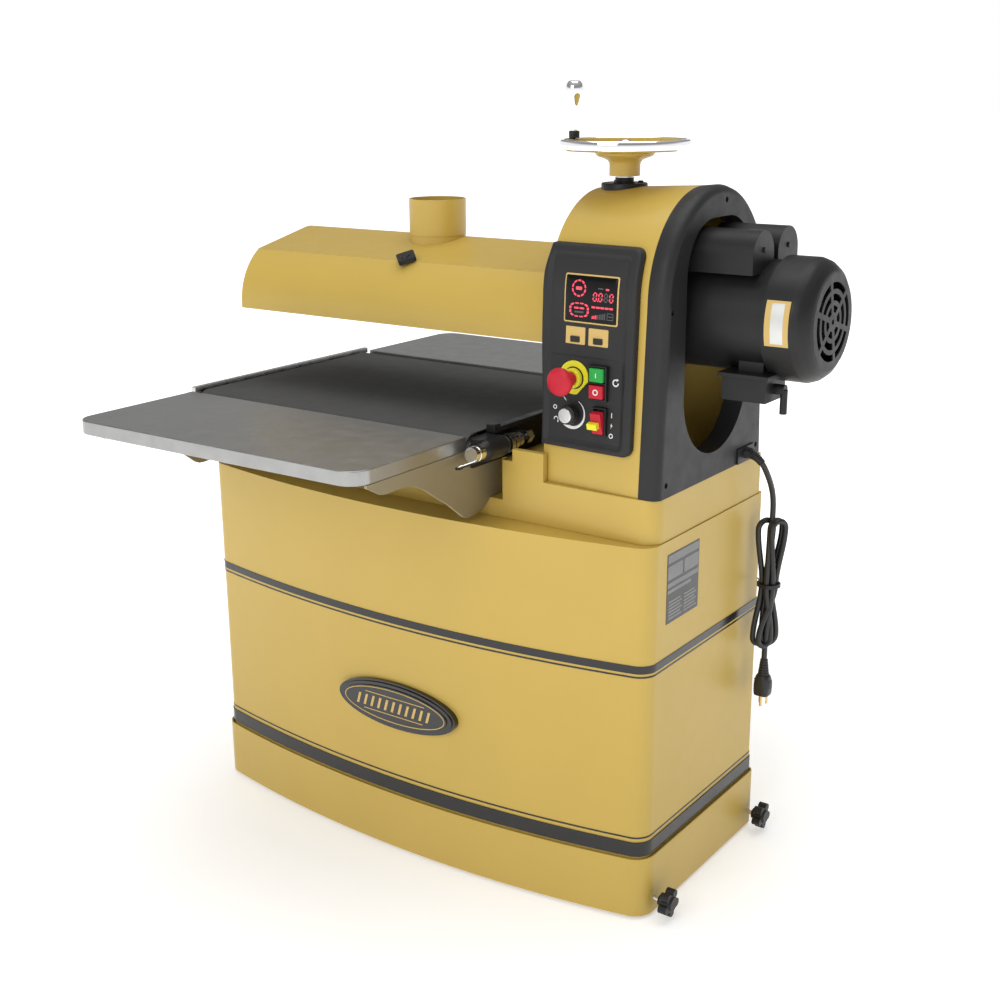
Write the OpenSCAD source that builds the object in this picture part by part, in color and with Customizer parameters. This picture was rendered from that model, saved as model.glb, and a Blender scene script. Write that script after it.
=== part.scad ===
// Open-ended drum sander on a closed cabinet stand.
// Frame: millimetres, +X to the motor side, +Y to the outfeed side, +Z up, floor at z = 0.

/* [Cabinet] */
// Half width of the cabinet, right of the machine's middle
cab_x = 455; // [400:1:500]
// How much wider the left half is than the right
cab_more = 11; // [0:1:20]
// Half depth of the cabinet along its sides
cab_y = 191; // [160:1:220]
// How far the front bows out past the sides
bow = 50; // [20:1:70]
// Radius of the front vertical corners
corner_r = 30; // [10:1:50]
// Top of the cabinet
cab_top = 626; // [560:1:700]
// Bottom and top of the skirt
skirt_lo = 6; // [2:1:20]
skirt_hi = 108; // [80:1:140]
// Height of the two clamp knobs
knob_z = 31; // [30:1:60]
// Front clamp knobs, distance ahead of the middle
knob_f = 166; // [120:1:166]
// Rear clamp knobs, distance behind the middle
knob_b = 176; // [120:1:177]

/* [Conveyor] */
// Height of the belt and of both tables
table_z = 768; // [700:1:900]
// Left edge of the tables
tab_l = -453; // [-480:1:-400]
// Right edge of the tables
tab_r = 153; // [100:1:200]
// Depth of each table
tab_d = 261; // [150:1:320]
// Half length of the belt loop
belt_y = 237; // [200:1:260]
// Outer radius of the belt where it turns
belt_r = 25; // [18:1:35]

/* [Head] */
// Left face of the head housing
head_l = 245; // [230:1:260]
// Where the housing meets the side cover
head_m = 421; // [400:1:440]
// Outer face of the side cover
head_r = 455; // [440:1:470]
// Height of the arch centre
arch_z = 982; // [950:1:1000]
// Underside of the housing
head_z = 696; // [680:1:720]

/* [Drum] */
// Height of the drum axis
drum_z = 956; // [930:1:970]
// Radius of the drum with its abrasive
drum_r = 56.5; // [45:0.5:57]
// Left end of the drum
drum_l = -400; // [-420:1:-380]
// Right end of the drum
drum_e = 150; // [140:1:151]

/* [Handwheel] */
// Handwheel axis, measured across the machine
wheel_x = 285; // [270:1:300]
// Radius of the rim's centre line
wheel_r = 93.5; // [70:0.5:120]
// Height of the rim's centre
wheel_z = 1199; // [1180:1:1220]

/* [Hidden] */
$fn = 96;
e = 0.02;
bowR = (cab_x*cab_x + bow*bow) / (2*bow);
bowC = bowR - cab_y - bow;
cr_x = cab_x - corner_r;
cr_y = bowC - sqrt(pow(bowR - corner_r, 2) - cr_x*cr_x);
rear_r = 8;
// hood section
hy = -4; hz = 910; hR = 113; ht = 2.5;
ay = 71; az = 983.6; aR = 50;
seam_y = -68; seam_z = 1003;
hood_b = 902; hood_w = ay + aR; hinge_y = hood_w + 4.1;
port_y = 58;
axle_z = table_z - belt_r;
axle_y = belt_y - belt_r;
// cord: hand-chosen points, millimetres
cd = 10;
cover_holes = [[13, 1122], [-146, 972], [-152, 716], [152, 716], [146, 972]];
lead_pts = [[459,112,712],[472,112,709],[484,116,697],[489,126,680],[490,139,664],[490,150,647],
            [490,156,630],[490,157,612],[490,157,594]];
tail_pts = [[490,151,364],[490,151,357],[490,151,350],[490,151,342]];

// the control panel; centres of the stop button and of the speed dial
es_x = 303.5; es_z = 865.5; dial_x = 302.5; dial_z = 811;
pl_l = 241; pl_r = 409; pl_b = 756; pl_t = 1062;

gold = [0.84, 0.70, 0.38];
dark = [0.19, 0.19, 0.19];
steel = [0.72, 0.72, 0.74];
chrome = [0.86, 0.86, 0.88];
red = [0.82, 0.12, 0.2];
yel = [0.93, 0.87, 0.2];

// ---------- helpers ----------
module box(x0, x1, y0, y1, z0, z1) translate([x0, y0, z0]) cube([x1 - x0, y1 - y0, z1 - z0]);
module xcyl(x0, x1, y, z, r, r2 = -1)
  translate([x0, y, z]) rotate([0, 90, 0]) cylinder(h = x1 - x0, r1 = r, r2 = r2 < 0 ? r : r2);
module ycyl(y0, y1, x, z, r, r2 = -1)
  translate([x, y0, z]) rotate([-90, 0, 0]) cylinder(h = y1 - y0, r1 = r, r2 = r2 < 0 ? r : r2);
module zcyl(z0, z1, x, y, r, r2 = -1)
  translate([x, y, z0]) cylinder(h = z1 - z0, r1 = r, r2 = r2 < 0 ? r : r2);
// a section drawn in (y, z), extruded along X
module xsect(x0, x1) translate([x0, 0, 0]) rotate([90, 0, 90]) linear_extrude(height = x1 - x0) children();
// a section drawn in (x, z), extruded from y0 towards +Y
module ysect(y0, y1) translate([0, y1, 0]) rotate([90, 0, 0]) linear_extrude(height = y1 - y0) children();

// cabinet outline, grown by d
module plan(d = 0) {
  intersection() { half_plan(d); translate([-0.01, -400]) square([800, 800]); }
  scale([(cab_x + cab_more)/cab_x, 1])
    intersection() { half_plan(d); translate([-800, -400]) square([800, 800]); }
}
module half_plan(d) {
  tx = cr_x + (corner_r + d)*cr_x/(bowR - corner_r);
  intersection() {
    translate([0, bowC]) circle(r = bowR + d, $fn = 720);
    translate([-tx, -400]) square([2*tx, 250]);
  }
  translate([-cab_x - d, cr_y]) square([2*(cab_x + d), cab_y - rear_r - cr_y]);
  translate([-cab_x + rear_r, cr_y]) square([2*(cab_x - rear_r), cab_y + d - cr_y]);
  for (s = [-1, 1]) {
    translate([s*cr_x, cr_y]) circle(r = corner_r + d);
    translate([s*(cab_x - rear_r), cab_y - rear_r]) circle(r = rear_r + d);
  }
}
module slab(d, z0, z1) translate([0, 0, z0]) linear_extrude(height = z1 - z0) plan(d);

// arch tapering along X: half round above arch_z, flared legs below
module arch(x0, x1, a, b, wa, wb, zb) {
  difference() {
    xcyl(x0, x1, 0, arch_z, a, b);
    box(x0 - 1, x1 + 1, -300, 300, arch_z - 300, arch_z);
  }
  polyhedron(points = [[x0,-wa,zb],[x0,wa,zb],[x0,a,arch_z],[x0,-a,arch_z],
                       [x1,-wb,zb],[x1,wb,zb],[x1,b,arch_z],[x1,-b,arch_z]],
    faces = [[0,1,2,3],[7,6,5,4],[4,5,1,0],[2,6,7,3],[3,7,4,0],[5,6,2,1]]);
}
// window outline in (y, z), grown by d
module window(d = 0) {
  translate([0, 841]) circle(r = 105 + d);
  translate([-105 - d, 841]) square([210 + 2*d, 1018 - 841]);
  for (s = [-1, 1]) translate([s*25, 1018]) circle(r = 80 + d);
  translate([-25, 1018]) square([50, 80 + d]);
}
// round tube along a route
function unit(v) = v/norm(v);
module tube(pts, d, n = 10) {
  m = len(pts);
  dirs = [for (i = [0:m-1]) unit(pts[min(i+1, m-1)] - pts[max(i-1, 0)])];
  ring = [for (i = [0:m-1]) let (t = dirs[i],
      u = unit(cross(t, abs(t[0]) > 0.8 ? [0,1,0] : [1,0,0])), w = cross(t, u))
      for (k = [0:n-1]) pts[i] + d/2*(cos(360*k/n)*u + sin(360*k/n)*w)];
  side = [for (i = [0:m-2]) for (k = [0:n-1])
      [i*n+k, i*n+(k+1)%n, (i+1)*n+(k+1)%n, (i+1)*n+k]];
  polyhedron(points = ring, faces = concat(side,
      [[for (k = [n-1:-1:0]) k]], [[for (k = [0:n-1]) (m-1)*n+k]]));
}

// ---------- stand ----------
module cabinet() {
  color(gold) difference() {
    union() {
      difference() { slab(0, 30, cab_top); slab(-2.5, 29, cab_top - 3); }
      slab(-1.5, 62, 65);
      for (sx = [-1, 1], y = [-128, 140]) zcyl(63, 88, sx*392, y, 16);
    }
    for (y = [-knob_f, knob_b]) {
      box(418, 462, y - 6, y + 6, 20, 100);
      box(436, cab_x - 2.5, y - 8, y + 8, 60, 68);
    }
    for (sx = [-1, 1], y = [-128, 140]) zcyl(50, 95, sx*392, y, 6.06);
    box(-300, 300, -100, 100, 60, 68);
  }
}
module band(z0, z1, d) difference() {
  slab(d, z0, z1); slab(0, z0 - 1, z1 + 1);
  box(-cab_x + 40, cab_x - 40, cab_y - 60, cab_y + 20, z0 - 1, z1 + 1);
}
module cabinet_decals() {
  color(dark) {
    band(424, 437, 1); band(417, 420, 0.6); band(111, 136, 1.6); band(142, 145, 0.6);
    box(cab_x, cab_x + 0.6, -141, -38, 491, 604);
  }
}
module leveling_feet() {
  color(dark) for (sx = [-1, 1], y = [-128, 140]) {
    zcyl(0, 8, sx*392, y, 25); zcyl(8, 12, sx*392, y, 25, 12); zcyl(12, 92, sx*392, y, 6);
    translate([sx*392, y, 52]) cylinder(h = 10, r = 11, $fn = 6);
  }
}
module ellipse(a, b, n = 64) polygon([for (i = [0:n-1]) [a*cos(360*i/n), b*sin(360*i/n)]]);
module oval_badge() {
  // stepped dome on a back that follows the bowed front
  color(dark) difference() {
    union() {
      translate([0, 0, 277]) ysect(-248, -228) ellipse(126, 42);
      translate([0, 0, 277]) ysect(-250.5, -247) ellipse(121, 38);
      translate([0, 0, 277]) ysect(-252.5, -250) ellipse(112, 32);
    }
    slab(0.05, 200, 360);
  }
}
module base_casting() {
  color(gold) difference() {
    union() {
      translate([0, 0, cab_top]) linear_extrude(height = 30) {
        translate([-445, -180]) square([870, 360]);
        translate([400, -152]) square([53, 332]);
        translate([425, -152]) circle(r = 28);
      }
      box(-450, 178, -146, 146, 650, 716);
      translate([0, 0, 655]) linear_extrude(height = head_z - 655) {
        translate([177, -180]) square([248, 360]);
        translate([400, -152]) square([53, 332]);
        translate([425, -152]) circle(r = 28);
      }
      box(177, 244, -180, 150, 690, 722);
      box(196, 254.5, -180, -168.4, 690, 741);
    }
    box(-435, 440, -168, 168, cab_top - 1, 640);
    box(-440, 166, -136, 136, 630, 706);
    box(186, 443, -168, 168, 630, 686);
    box(190, 236, -168, 138, 680, 712);
    for (s = [-1, 1]) zcyl(680, 760, 286, s*122, 12.05);
    box(262, 400, -96, 96, 670, 700);
  }
}
// ---------- head ----------
module head_housing() {
  color(gold) difference() {
    arch(head_l, head_m, 152, 160.5, 167, 175.5, head_z);
    difference() {
      arch(head_l + 8, head_m + 1, 144.4, 153, 159.4, 168, head_z - 1);
      box(head_l, head_m - 6, -170, 170, head_z - 2, head_z + 8);
    }
    // opening for the hood and drum on the left face
    box(head_l - 1, head_l + 9, -126, 126, 764, 1036);
    // openings in the floor
    box(262, 400, -96, 96, head_z - 2, head_z + 12);
    for (s = [-1, 1]) zcyl(690, 720, 286, s*122, 12.05);
    zcyl(1100, 1160, wheel_x, 0, 14.2);
    // wiring slot to the panel
    box(300, 350, -190, -150, 806, 830);
  }
}

module side_cover() {
  color(dark) difference() {
    union() {
      arch(head_m, head_r - 14, 160.5, 162.5, 176.5, 178.5, head_z);
      arch(head_r - 14, head_r - 6, 162.5, 159.5, 178.5, 175.5, head_z);
      arch(head_r - 6, head_r - 2, 159.5, 154.5, 175.5, 170.5, head_z);
      arch(head_r - 2, head_r, 154.5, 149.5, 170.5, 165.5, head_z);
    }
    xsect(head_m - 1, head_r + 1) window(0);
    difference() {
      arch(head_m - 1, head_r - 14, 154, 156, 170, 172, head_z + 5);
      xsect(head_m - 2, head_r) window(5);
    }
    box(head_r - 16, head_r + 2, 82, 141, 690, 722);
    for (p = cover_holes) xcyl(head_r - 9, head_r + 5, p[0], p[1], 4.4);
  }
}
module side_cover_screws() {
  color(dark) for (p = cover_holes) difference() {
    xcyl(head_r - 9, head_r - 5, p[0], p[1], 4.3);
    translate([head_r - 7, p[0], p[1]]) rotate([0, 90, 0]) cylinder(h = 3, r = 2.2, $fn = 6);
  }
}
module screw_flange() {
  color(dark) difference() {
    union() {
      zcyl(1128, 1139, wheel_x, 0, 36);
      zcyl(1139, 1142, wheel_x, 0, 36, 33);
      zcyl(1142, 1149.6, wheel_x, 0, 15);
      zcyl(1122, 1130, wheel_x, 0, 14);
    }
    difference() {
      xcyl(head_l, head_m, 0, arch_z, 152.02, 160.52);
      zcyl(1090, 1160, wheel_x, 0, 14);
    }
    zcyl(1100, 1160, wheel_x, 0, 10.06);
  }
}
module lift_columns() {
  color(steel) for (s = [-1, 1]) zcyl(690, 1034, 286, s*122, 12);
}
module control_panel() {
  color(dark) difference() {
    intersection() {
      arch(pl_l - 1, pl_r + 1, 164.95, 173.45, 174.95, 183.45, pl_b - 1);
      ysect(-200, -90) {
        translate([pl_l, pl_b + 3]) square([20, pl_t - pl_b - 6]);
        translate([pl_l + 3, pl_b]) square([150, pl_t - pl_b]);
        translate([pl_l + 10, pl_b + 16]) square([pl_r - pl_l - 10, pl_t - pl_b - 32]);
        for (z = [pl_b + 16, pl_t - 16]) translate([pl_r - 16, z]) circle(r = 16);
        for (z = [pl_b + 3, pl_t - 3]) translate([pl_l + 3, z]) circle(r = 3);
      }
    }
    arch(head_l, head_m, 152.05, 160.55, 167.05, 175.55, head_z);
    arch(head_l - 12, head_l + 0.01, 152.05, 152.05, 167.05, 167.05, head_z);
    // seats for the display, the keys and the switches
    box(281, 379, -200, -161.5, 947.5, 1021.5);
    for (x = [304, 345]) box(x - 19, x + 19, -200, -164, 915.5, 943.5);
    ycyl(-200, -166, es_x, es_z, 26.1);
    box(333, 366, -200, -167, 836, 890);
    ycyl(-200, -166, dial_x, dial_z, 5);
    box(341.5, 366.5, -200, -169.5, 784, 828);
  }
}
module display_frame() {
  color([0.8, 0.66, 0.34]) {
    difference() {
      box(281.5, 378.5, -173.5, -161.5, 948, 1021);
      box(285.5, 374.5, -180, -163.5, 952, 1017);
    }
    for (x = [304, 345]) difference() {
      box(x - 18, x + 18, -176, -164, 916, 943);
      box(x - 8.5, x + 8.5, -180, -160, 919, 929);
    }
  }
}
module display_glass() {
  color([0.03, 0.03, 0.04]) box(285.7, 374.3, -172.5, -163.5, 952.2, 1016.8);
}
module estop_collar() {
  color(yel) difference() {
    union() { ycyl(-178, -166, es_x, es_z, 26); ycyl(-186, -177, es_x, es_z, 15, 16.5); }
    ycyl(-200, -168, es_x, es_z, 11);
  }
}
module switch_block() {
  color(dark) difference() {
    union() { box(333.5, 365.5, -180, -167, 836.5, 889.5); box(342, 366, -182, -169.5, 784.5, 827.5); }
    box(336.5, 362.5, -190, -170, 864.4, 887);
    box(336.5, 362.5, -190, -170, 839.4, 861.6);
    box(344.6, 363.4, -190, -171, 787, 825);
  }
}
module estop_button() {
  color(red) {
    ycyl(-208, -200, es_x, es_z, 15, 20.5);
    ycyl(-214, -208, es_x, es_z, 21.5);
    ycyl(-217.5, -214, es_x, es_z, 15, 21.5);
    ycyl(-200, -176, es_x, es_z, 10.7);
  }
}
module start_button() { color([0.1, 0.62, 0.25]) box(337.5, 361.5, -184, -174, 865.4, 886); }
module stop_button() { color(red) box(337.5, 361.5, -184.6, -174, 840.4, 860.6); }
module keycap(x) {
  color(dark) box(x - 8, x + 8, -177.5, -168, 919.5, 928.5);
}
module key_left() { keycap(304); }
module key_right() { keycap(345); }
module speed_dial() {
  color(dark) { ycyl(-191, -179, dial_x, dial_z, 14, 15); ycyl(-180, -168, dial_x, dial_z, 4.6); }
  color(chrome) ycyl(-196, -191, dial_x, dial_z, 10.6, 11);
}
module toggle_switch() {
  color(red) {
    xcyl(345, 363, -179, 806, 7.5);
    translate([354, -179, 806]) rotate([14, 0, 0]) box(-9, 9, -10, 0, -16.5, 16.5);
  }
  color(yel) translate([354, -179, 806]) rotate([14, 0, 0]) box(-12, 5, -18, -9, -6.5, 3);
}
// ---------- conveyor and tables ----------
module conveyor_bed() {
  color(dark) difference() {
    union() {
      box(-446, 146, -180, 180, 722, 766);
      box(-458.4, -453.4, -232, 232, 716, 764);
      box(153.4, 158.4, -232, 232, 716, 764);
      for (y = [-120, 0, 90]) box(-454, 154, y, y + 28, 724, 744);
      box(-458.4, -450, -60, 60, 690, 718);
    }
    box(-440, 140, -172, 172, 744, 760);
    for (s = [-1, 1]) xcyl(-470, 170, s*axle_y, axle_z, 10.06);
  }
}
module side_rails() {
  color(steel) box(-462, -452, -236, 236, 764, 774);
  color(dark) box(152, 168, -188, 205, 764, 772); box(152, 168, -188, -170, 764, 777);
}
module loop(r) {
  for (s = [-1, 1]) translate([s*axle_y, axle_z]) circle(r = r);
  translate([-axle_y, axle_z - r]) square([2*axle_y, 2*r]);
}
module conveyor_belt() {
  color([0.27, 0.27, 0.27]) difference() {
    xsect(-446.5, 146.5) loop(belt_r);
    xsect(-448, 148) loop(belt_r - 2);
  }
}
module roller(y) {
  color(steel) { xcyl(-445, 145, y, axle_z, belt_r - 2.3); xcyl(-462, 161, y, axle_z, 10); }
}
module drive_roller() { roller(axle_y); color(steel) xcyl(160, 184, axle_y, axle_z, 8); }
module idle_roller() { roller(-axle_y); }
module pan(s) {
  r = 34;
  y0 = s < 0 ? -242 - tab_d : 242;
  yo = s < 0 ? -242 - tab_d + r : 242 + tab_d - r;
  module shape(d) {
    translate([tab_l + d, s < 0 ? yo : 242 + d]) square([tab_r - tab_l - 2*d, tab_d - r - d]);
    translate([tab_l + r, y0 + d]) square([tab_r - tab_l - 2*r, tab_d - 2*d]);
    for (x = [tab_l + r, tab_r - r]) translate([x, yo]) circle(r = r - d);
  }
  difference() {
    translate([0, 0, table_z - 23]) linear_extrude(height = 23) shape(0);
    translate([0, 0, table_z - 24]) linear_extrude(height = 19) shape(4);
  }
}
module infeed_table() { color(steel) pan(-1); }
module outfeed_table() { color(steel) pan(1); }
module fin() polygon([[-478,745],[-478,740],[-470,736],[-448,724],[-436,722],[-418,722.5],[-402,723],
    [-386,722],[-370,718],[-356,712],[-343,705],[-318,688],[-291,671],[-266,652],[-252,641],[-243,637],
    [-232,636],[-216,637],[-200,641],[-188,648],[-178,657],[-146,657],[-146,745]]);
module table_brackets() {
  color(steel) difference() { bracket_set(); for (s = [-1, 1]) {
    xcyl(-470, 170, s*axle_y, axle_z, 12);
    box(-470, 170, s*axle_y - 12, s*axle_y + 12, axle_z, axle_z + 10);
  } }
}
module bracket_set() {
  for (s = [-1, 1]) {
    for (x = [-452.8, 147]) {
      if (s < 0) xsect(x, x + 5.8) fin(); else mirror([0, 1, 0]) xsect(x, x + 5.8) fin();
    }
    for (x = [-447, 125]) {
      box(x, x + 22, s > 0 ? 252 : -468, s > 0 ? 468 : -252, 740, 744.6);
      box(x < 0 ? x : x + 17, x < 0 ? x + 5 : x + 22, s > 0 ? 252 : -468, s > 0 ? 468 : -252, 740, 763);
      box(x, x + 22, s > 0 ? 146 : -151, s > 0 ? 151 : -146, 662, 712);
    }
  }
}
module takeup(x, s, r) {
  // s: +1 right side, -1 left side
  ycyl(-226, -186, x, 746, r);
  ycyl(-236, -226, x, 746, r*0.82, r);
  ycyl(-240, -236, x, 746, r*0.6, r*0.82);
  ycyl(-186, -176, x, 746, r, r*0.82);
  ycyl(-262, -238, x, 746, r*0.7);
  ycyl(-252, -250, x, 746, r*0.74);
  ycyl(-178, -96, x, 746, 6);
  ycyl(-172, -163, x, 746, r*0.9);
  ycyl(-158, -149, x, 746, r*0.8);
  ycyl(-144, -135, x, 746, r*0.68);
  translate([x, -118, 746]) rotate([-90, 0, 0]) cylinder(h = 13, r = 11, $fn = 6);
  box(s > 0 ? 158.4 : x - 4, s > 0 ? x + 4 : -458.4, -134, -122, 734, 758);
  if (s > 0) { ycyl(-296, -228, x - 3, 732, 2.4); ycyl(-290, -283, x - 3, 732, 3.6); }
}
module roller_bearings() {
  color(dark) difference() {
    union() {
      takeup(177, 1, 17.5);
      takeup(-473, -1, 12);
      box(158.4, 176, -236, -190, 728.6, 763.6);
      box(-474, -458.4, -236, -190, 730, 762);
      for (q = [[158.4, 170], [-470, -458.4]]) {
        xcyl(q[0], q[1], axle_y, axle_z, 20);
        box(q[0], q[1], axle_y - 20, axle_y + 20, 722, axle_z);
      }
    }
    for (s = [-1, 1]) xcyl(-463, 162, s*axle_y, axle_z, 10.06);
    xcyl(161, 190, axle_y, axle_z, 8.06);
  }
}
module conveyor_gearmotor() {
  color(dark) difference() {
    union() {
      box(170.4, 232, 186, 262, 698, 786);
      xcyl(232, 352, 224, axle_z, 38);
      xcyl(352, 372, 224, axle_z, 38, 33);
      for (x = [244:14:340]) xcyl(x, x + 4, 224, axle_z, 41);
      box(262, 322, 252, 274, axle_z - 22, axle_z + 22);
    }
    xcyl(169, 186, axle_y, axle_z, 8.06);
  }
}

// ---------- mains lead ----------
module cord_gland() {
  color(dark) difference() {
    union() {
      box(head_r - 12, head_r + 3, 82.5, 140.5, 696.5, 721.5);
      xcyl(head_r + 2, head_r + 14, 112, 711, 10, 8);
    }
    xcyl(head_r - 14, head_r + 3.5, 112, 712, 5.2);
    xcyl(head_r + 3.4, head_r + 16, 112, 710.9, 6.5);
    box(head_r - 13, head_r - 4, 86, 137, 700, 718);
  }
}
module cord_lead() { color(dark) tube(lead_pts, cd); }
module cord_hank() {
  // closed outline of the folded turns, waisted where the tie pulls them in
  color(dark) translate([474, 0, 0]) rotate([90, 0, 90]) linear_extrude(height = 32)
    polygon([[134,590],[130,582],[128,570],[129,545],[133,520],[139,495],[141,483],[141,471],
      [138,455],[132,430],[127,405],[125,385],[127,374],[133,367],[144,364],[160,364],[172,367],
      [178,374],[180,385],[178,405],[174,430],[170,455],[168,471],[168,483],[170,495],[176,520],
      [181,545],[184,570],[183,582],[178,590],[168,594],[144,594]]);
}
module cord_tie() {
  color(dark) difference() {
    box(471, 509, 138.5, 170.5, 470, 484);
    box(473.9, 506.1, 141, 168, 469, 485);
  }
}
module cord_tail() { color(dark) tube(tail_pts, cd); }
module plug() {
  color(dark) {
    zcyl(313, 342, 490, 151, 10.5, 6.5);
    zcyl(284, 314, 490, 151, 15, 13);
    box(477, 503, 138, 164, 277, 290);
  }
  color([0.78, 0.62, 0.3]) {
    for (s = [-1, 1]) box(490 + s*6.5 - 0.8, 490 + s*6.5 + 0.8, 152, 158.4, 259, 278);
    zcyl(256, 278, 490, 145, 2.4);
  }
}

// ---------- carriage ----------
module drum_carriage() {
  color([0.3, 0.3, 0.32]) difference() {
    union() {
      box(257, 269, -104, 104, 893, 1032);
      box(257, 260, -117, hood_w, hood_b, 985);
      box(304, 316, -104, 104, 893, 1032);
      for (x = [257, 304]) box(x, x + 12, -30, 30, 1030, 1119);
      box(257, 316, -30, 30, 1106, 1119);
      for (s = [-1, 1]) {
        box(268, 305, s > 0 ? 92 : -138, s > 0 ? 138 : -92, 900, 1020);
        box(310, 402, s > 0 ? 80 : -92, s > 0 ? 92 : -80, 893, 1032);
      }
      box(392, 402, -98, 98, 869, 1054);
      // ties inside the hood that carry the outboard bearing
      for (s = [-1, 1]) xcyl(-402, 258, s*92, 952, 8);
    }
    for (s = [-1, 1]) zcyl(890, 1040, 286, s*122, 12.06);
    zcyl(1100, 1125, wheel_x, 0, 10.06);
    xcyl(250, 330, 0, drum_z, 12.06);
    xcyl(380, 410, 0, drum_z, 22);
    for (s = [-1, 1]) xcyl(250, 264, s*88, 910, 5.06);
  }
}

module hood_shell() {
  color(gold) union() {
    // curved front wall
    intersection() {
      difference() {
        xcyl(-445, 257, hy, hz, hR);
        xcyl(-446, 258, hy, hz, hR - ht);
        latch_hole();
      }
      xsect(-445, 257) polygon([[-130,hz],[-60,hz],[-60,960],[seam_y - 0.3,985],[seam_y - 0.3,seam_z + 3],
        [seam_y - 30,seam_z + 8],[-130,seam_z]]);
    }
    box(-445, 257, hy - hR, hy - hR + ht, hood_b, hz + 1);
    // rear wall
    box(-445, 257, hood_w - ht, hood_w, hood_b, 962);
    // left end plate
    xsect(-445, -442.5) hood_fill(3.4, hood_b);
    box(-445, -442.5, -117, -112, hood_b, hz);
    box(-445, -442.5, 112, hood_w, hood_b, 962);
    // lower lips turned in
    box(-445, 257, hy - hR, hy - hR + 10, hood_b, hood_b + 2);
    box(-445, 257, hood_w - 10, hood_w, hood_b, hood_b + 2);
    // hinge knuckles and pins on the rear wall
    for (x = [-380, -100]) {
      xcyl(x, x + 30, hinge_y, 963, 4);
      box(x, x + 30, hood_w - 1, hood_w + 2.6, 950, 963);
      xcyl(x, x + 62, hinge_y, 963, 1.95);
    }
  }
}
module hood_fill(g, b) {
  // hood section, g in from the outside, down to height b
  intersection() {
    translate([hy, hz]) circle(r = hR - g);
    translate([-140, hz - 1]) square([74, 88]);
  }
  polygon([[-70, 930],[seam_y - 2 + g*0.4, seam_z - 1 - g],
    [ay - 0.2306*(aR - g), az + 0.973*(aR - g)],[ay, az],
    [hood_w - g, az],[hood_w - g, b],[-60, b]]);
  translate([ay, az]) circle(r = aR - g);
  translate([hy - hR + g, b]) square([60, hz - b + 1]);
}
module end_support() {
  color(gold) difference() {
    union() {
      box(-442.4, -402, -108, 108, 899.5, 935);
      box(-442.4, -402, -100, 100, 930, 962);
      box(-442.4, -402, -34, 34, 950, 990);
    }
    box(-450, -400, -120, -105, 890, hood_b + 2.2);
    box(-450, -400, 105, 120, 890, hood_b + 2.2);
    xcyl(-446, -400, 0, drum_z, 12.06);
    // hollow face towards the drum
    difference() { xcyl(-432, -400, 0, drum_z, 48); xcyl(-440, -399, 0, drum_z, 26); }
    for (s = [-1, 1]) xcyl(-412, -400, s*88, 910, 5.06);
  }
}
module hood_lid() {
  color(gold) difference() {
    union() {
      // flat top, seam to crown
      xsect(-445, 242) polygon([[seam_y, seam_z + 0.8],[seam_y, seam_z - 1.6],
        [ay - 0.2306*(aR - ht), az + 0.973*(aR - ht)],[ay - 0.2306*aR, az + 0.973*aR]]);
      // crown
      intersection() {
        difference() { xcyl(-445, 242, ay, az, aR); xcyl(-446, 243, ay, az, aR - ht); }
        xsect(-445, 242) polygon([[ay, az],[ay - 0.2306*80, az + 0.973*80],
          [ay + 100, az + 90],[ay + 100, az]]);
      }
      box(-445, 242, hood_w - ht, hood_w, 968, az + 0.5);
      for (x = [-350, -70]) {
        xcyl(x + 0.4, x + 29.6, hinge_y, 963, 4);
        box(x + 0.4, x + 29.6, hood_w - 1, hood_w + 2.6, 963, 974);
      }
    }
    for (x = [-350, -70]) xcyl(x - 1, x + 31, hinge_y, 963, 2);
    // hole under the port
    zcyl(960, 1100, -127, port_y, 49);
    latch_hole();
  }
}
module dust_port() {
  color(gold) difference() {
    union() { zcyl(1036, 1098, -127, port_y, 50); zcyl(1015, 1036.1, -127, port_y, 48.95); }
    zcyl(1014, 1100, -127, port_y, 47.3);
  }
}
module latch_hole() translate([-96, seam_y, seam_z]) rotate([24, 0, 0]) translate([0, 0, -20])
  cylinder(h = 30, r = 4.2);
module hood_latch() {
  // quarter-turn catch on the seam; its axis is normal to the lid edge
  color(dark) translate([-96, seam_y, seam_z]) rotate([24, 0, 0]) {
    translate([0, 0, 2.8]) rotate([0, 0, 45]) union() {
      box(-11, 11, -15.5, 15.5, 0, 8); box(-15.5, 15.5, -11, 11, 0, 8);
      for (a = [-1, 1], b = [-1, 1]) translate([a*11, b*11, 0]) cylinder(h = 8, r = 4.5);
    }
    translate([0, 0, 2.8]) cylinder(h = 8, r = 9.4);
    translate([0, 0, -5]) cylinder(h = 8, r = 4);
    translate([0, 0, 10.6]) cylinder(h = 2.4, r1 = 9.4, r2 = 7.6);
  }
}
module motor_body() {
  color(dark) difference() {
    union() { xcyl(402, 412, 0, drum_z, 82); xcyl(412, 566, 0, drum_z, 84); }
    xcyl(400, 570, 0, drum_z, 15.06);
  }
}
module capacitor_covers() {
  color(dark) for (s = [-1, 1]) difference() {
    union() {
      xcyl(436, 540, s*42, 1051, 35);
      xcyl(540, 544, s*42, 1051, 35, 32);
      box(436, 542, s*42 - 35, s*42 + 35, 1008, 1051);
    }
    xcyl(430, 550, 0, drum_z, 84.02);
    if (s > 0) box(430, 550, -40, 0.4, 990, 1090); else box(430, 550, -0.4, 40, 990, 1090);
  }
}
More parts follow.
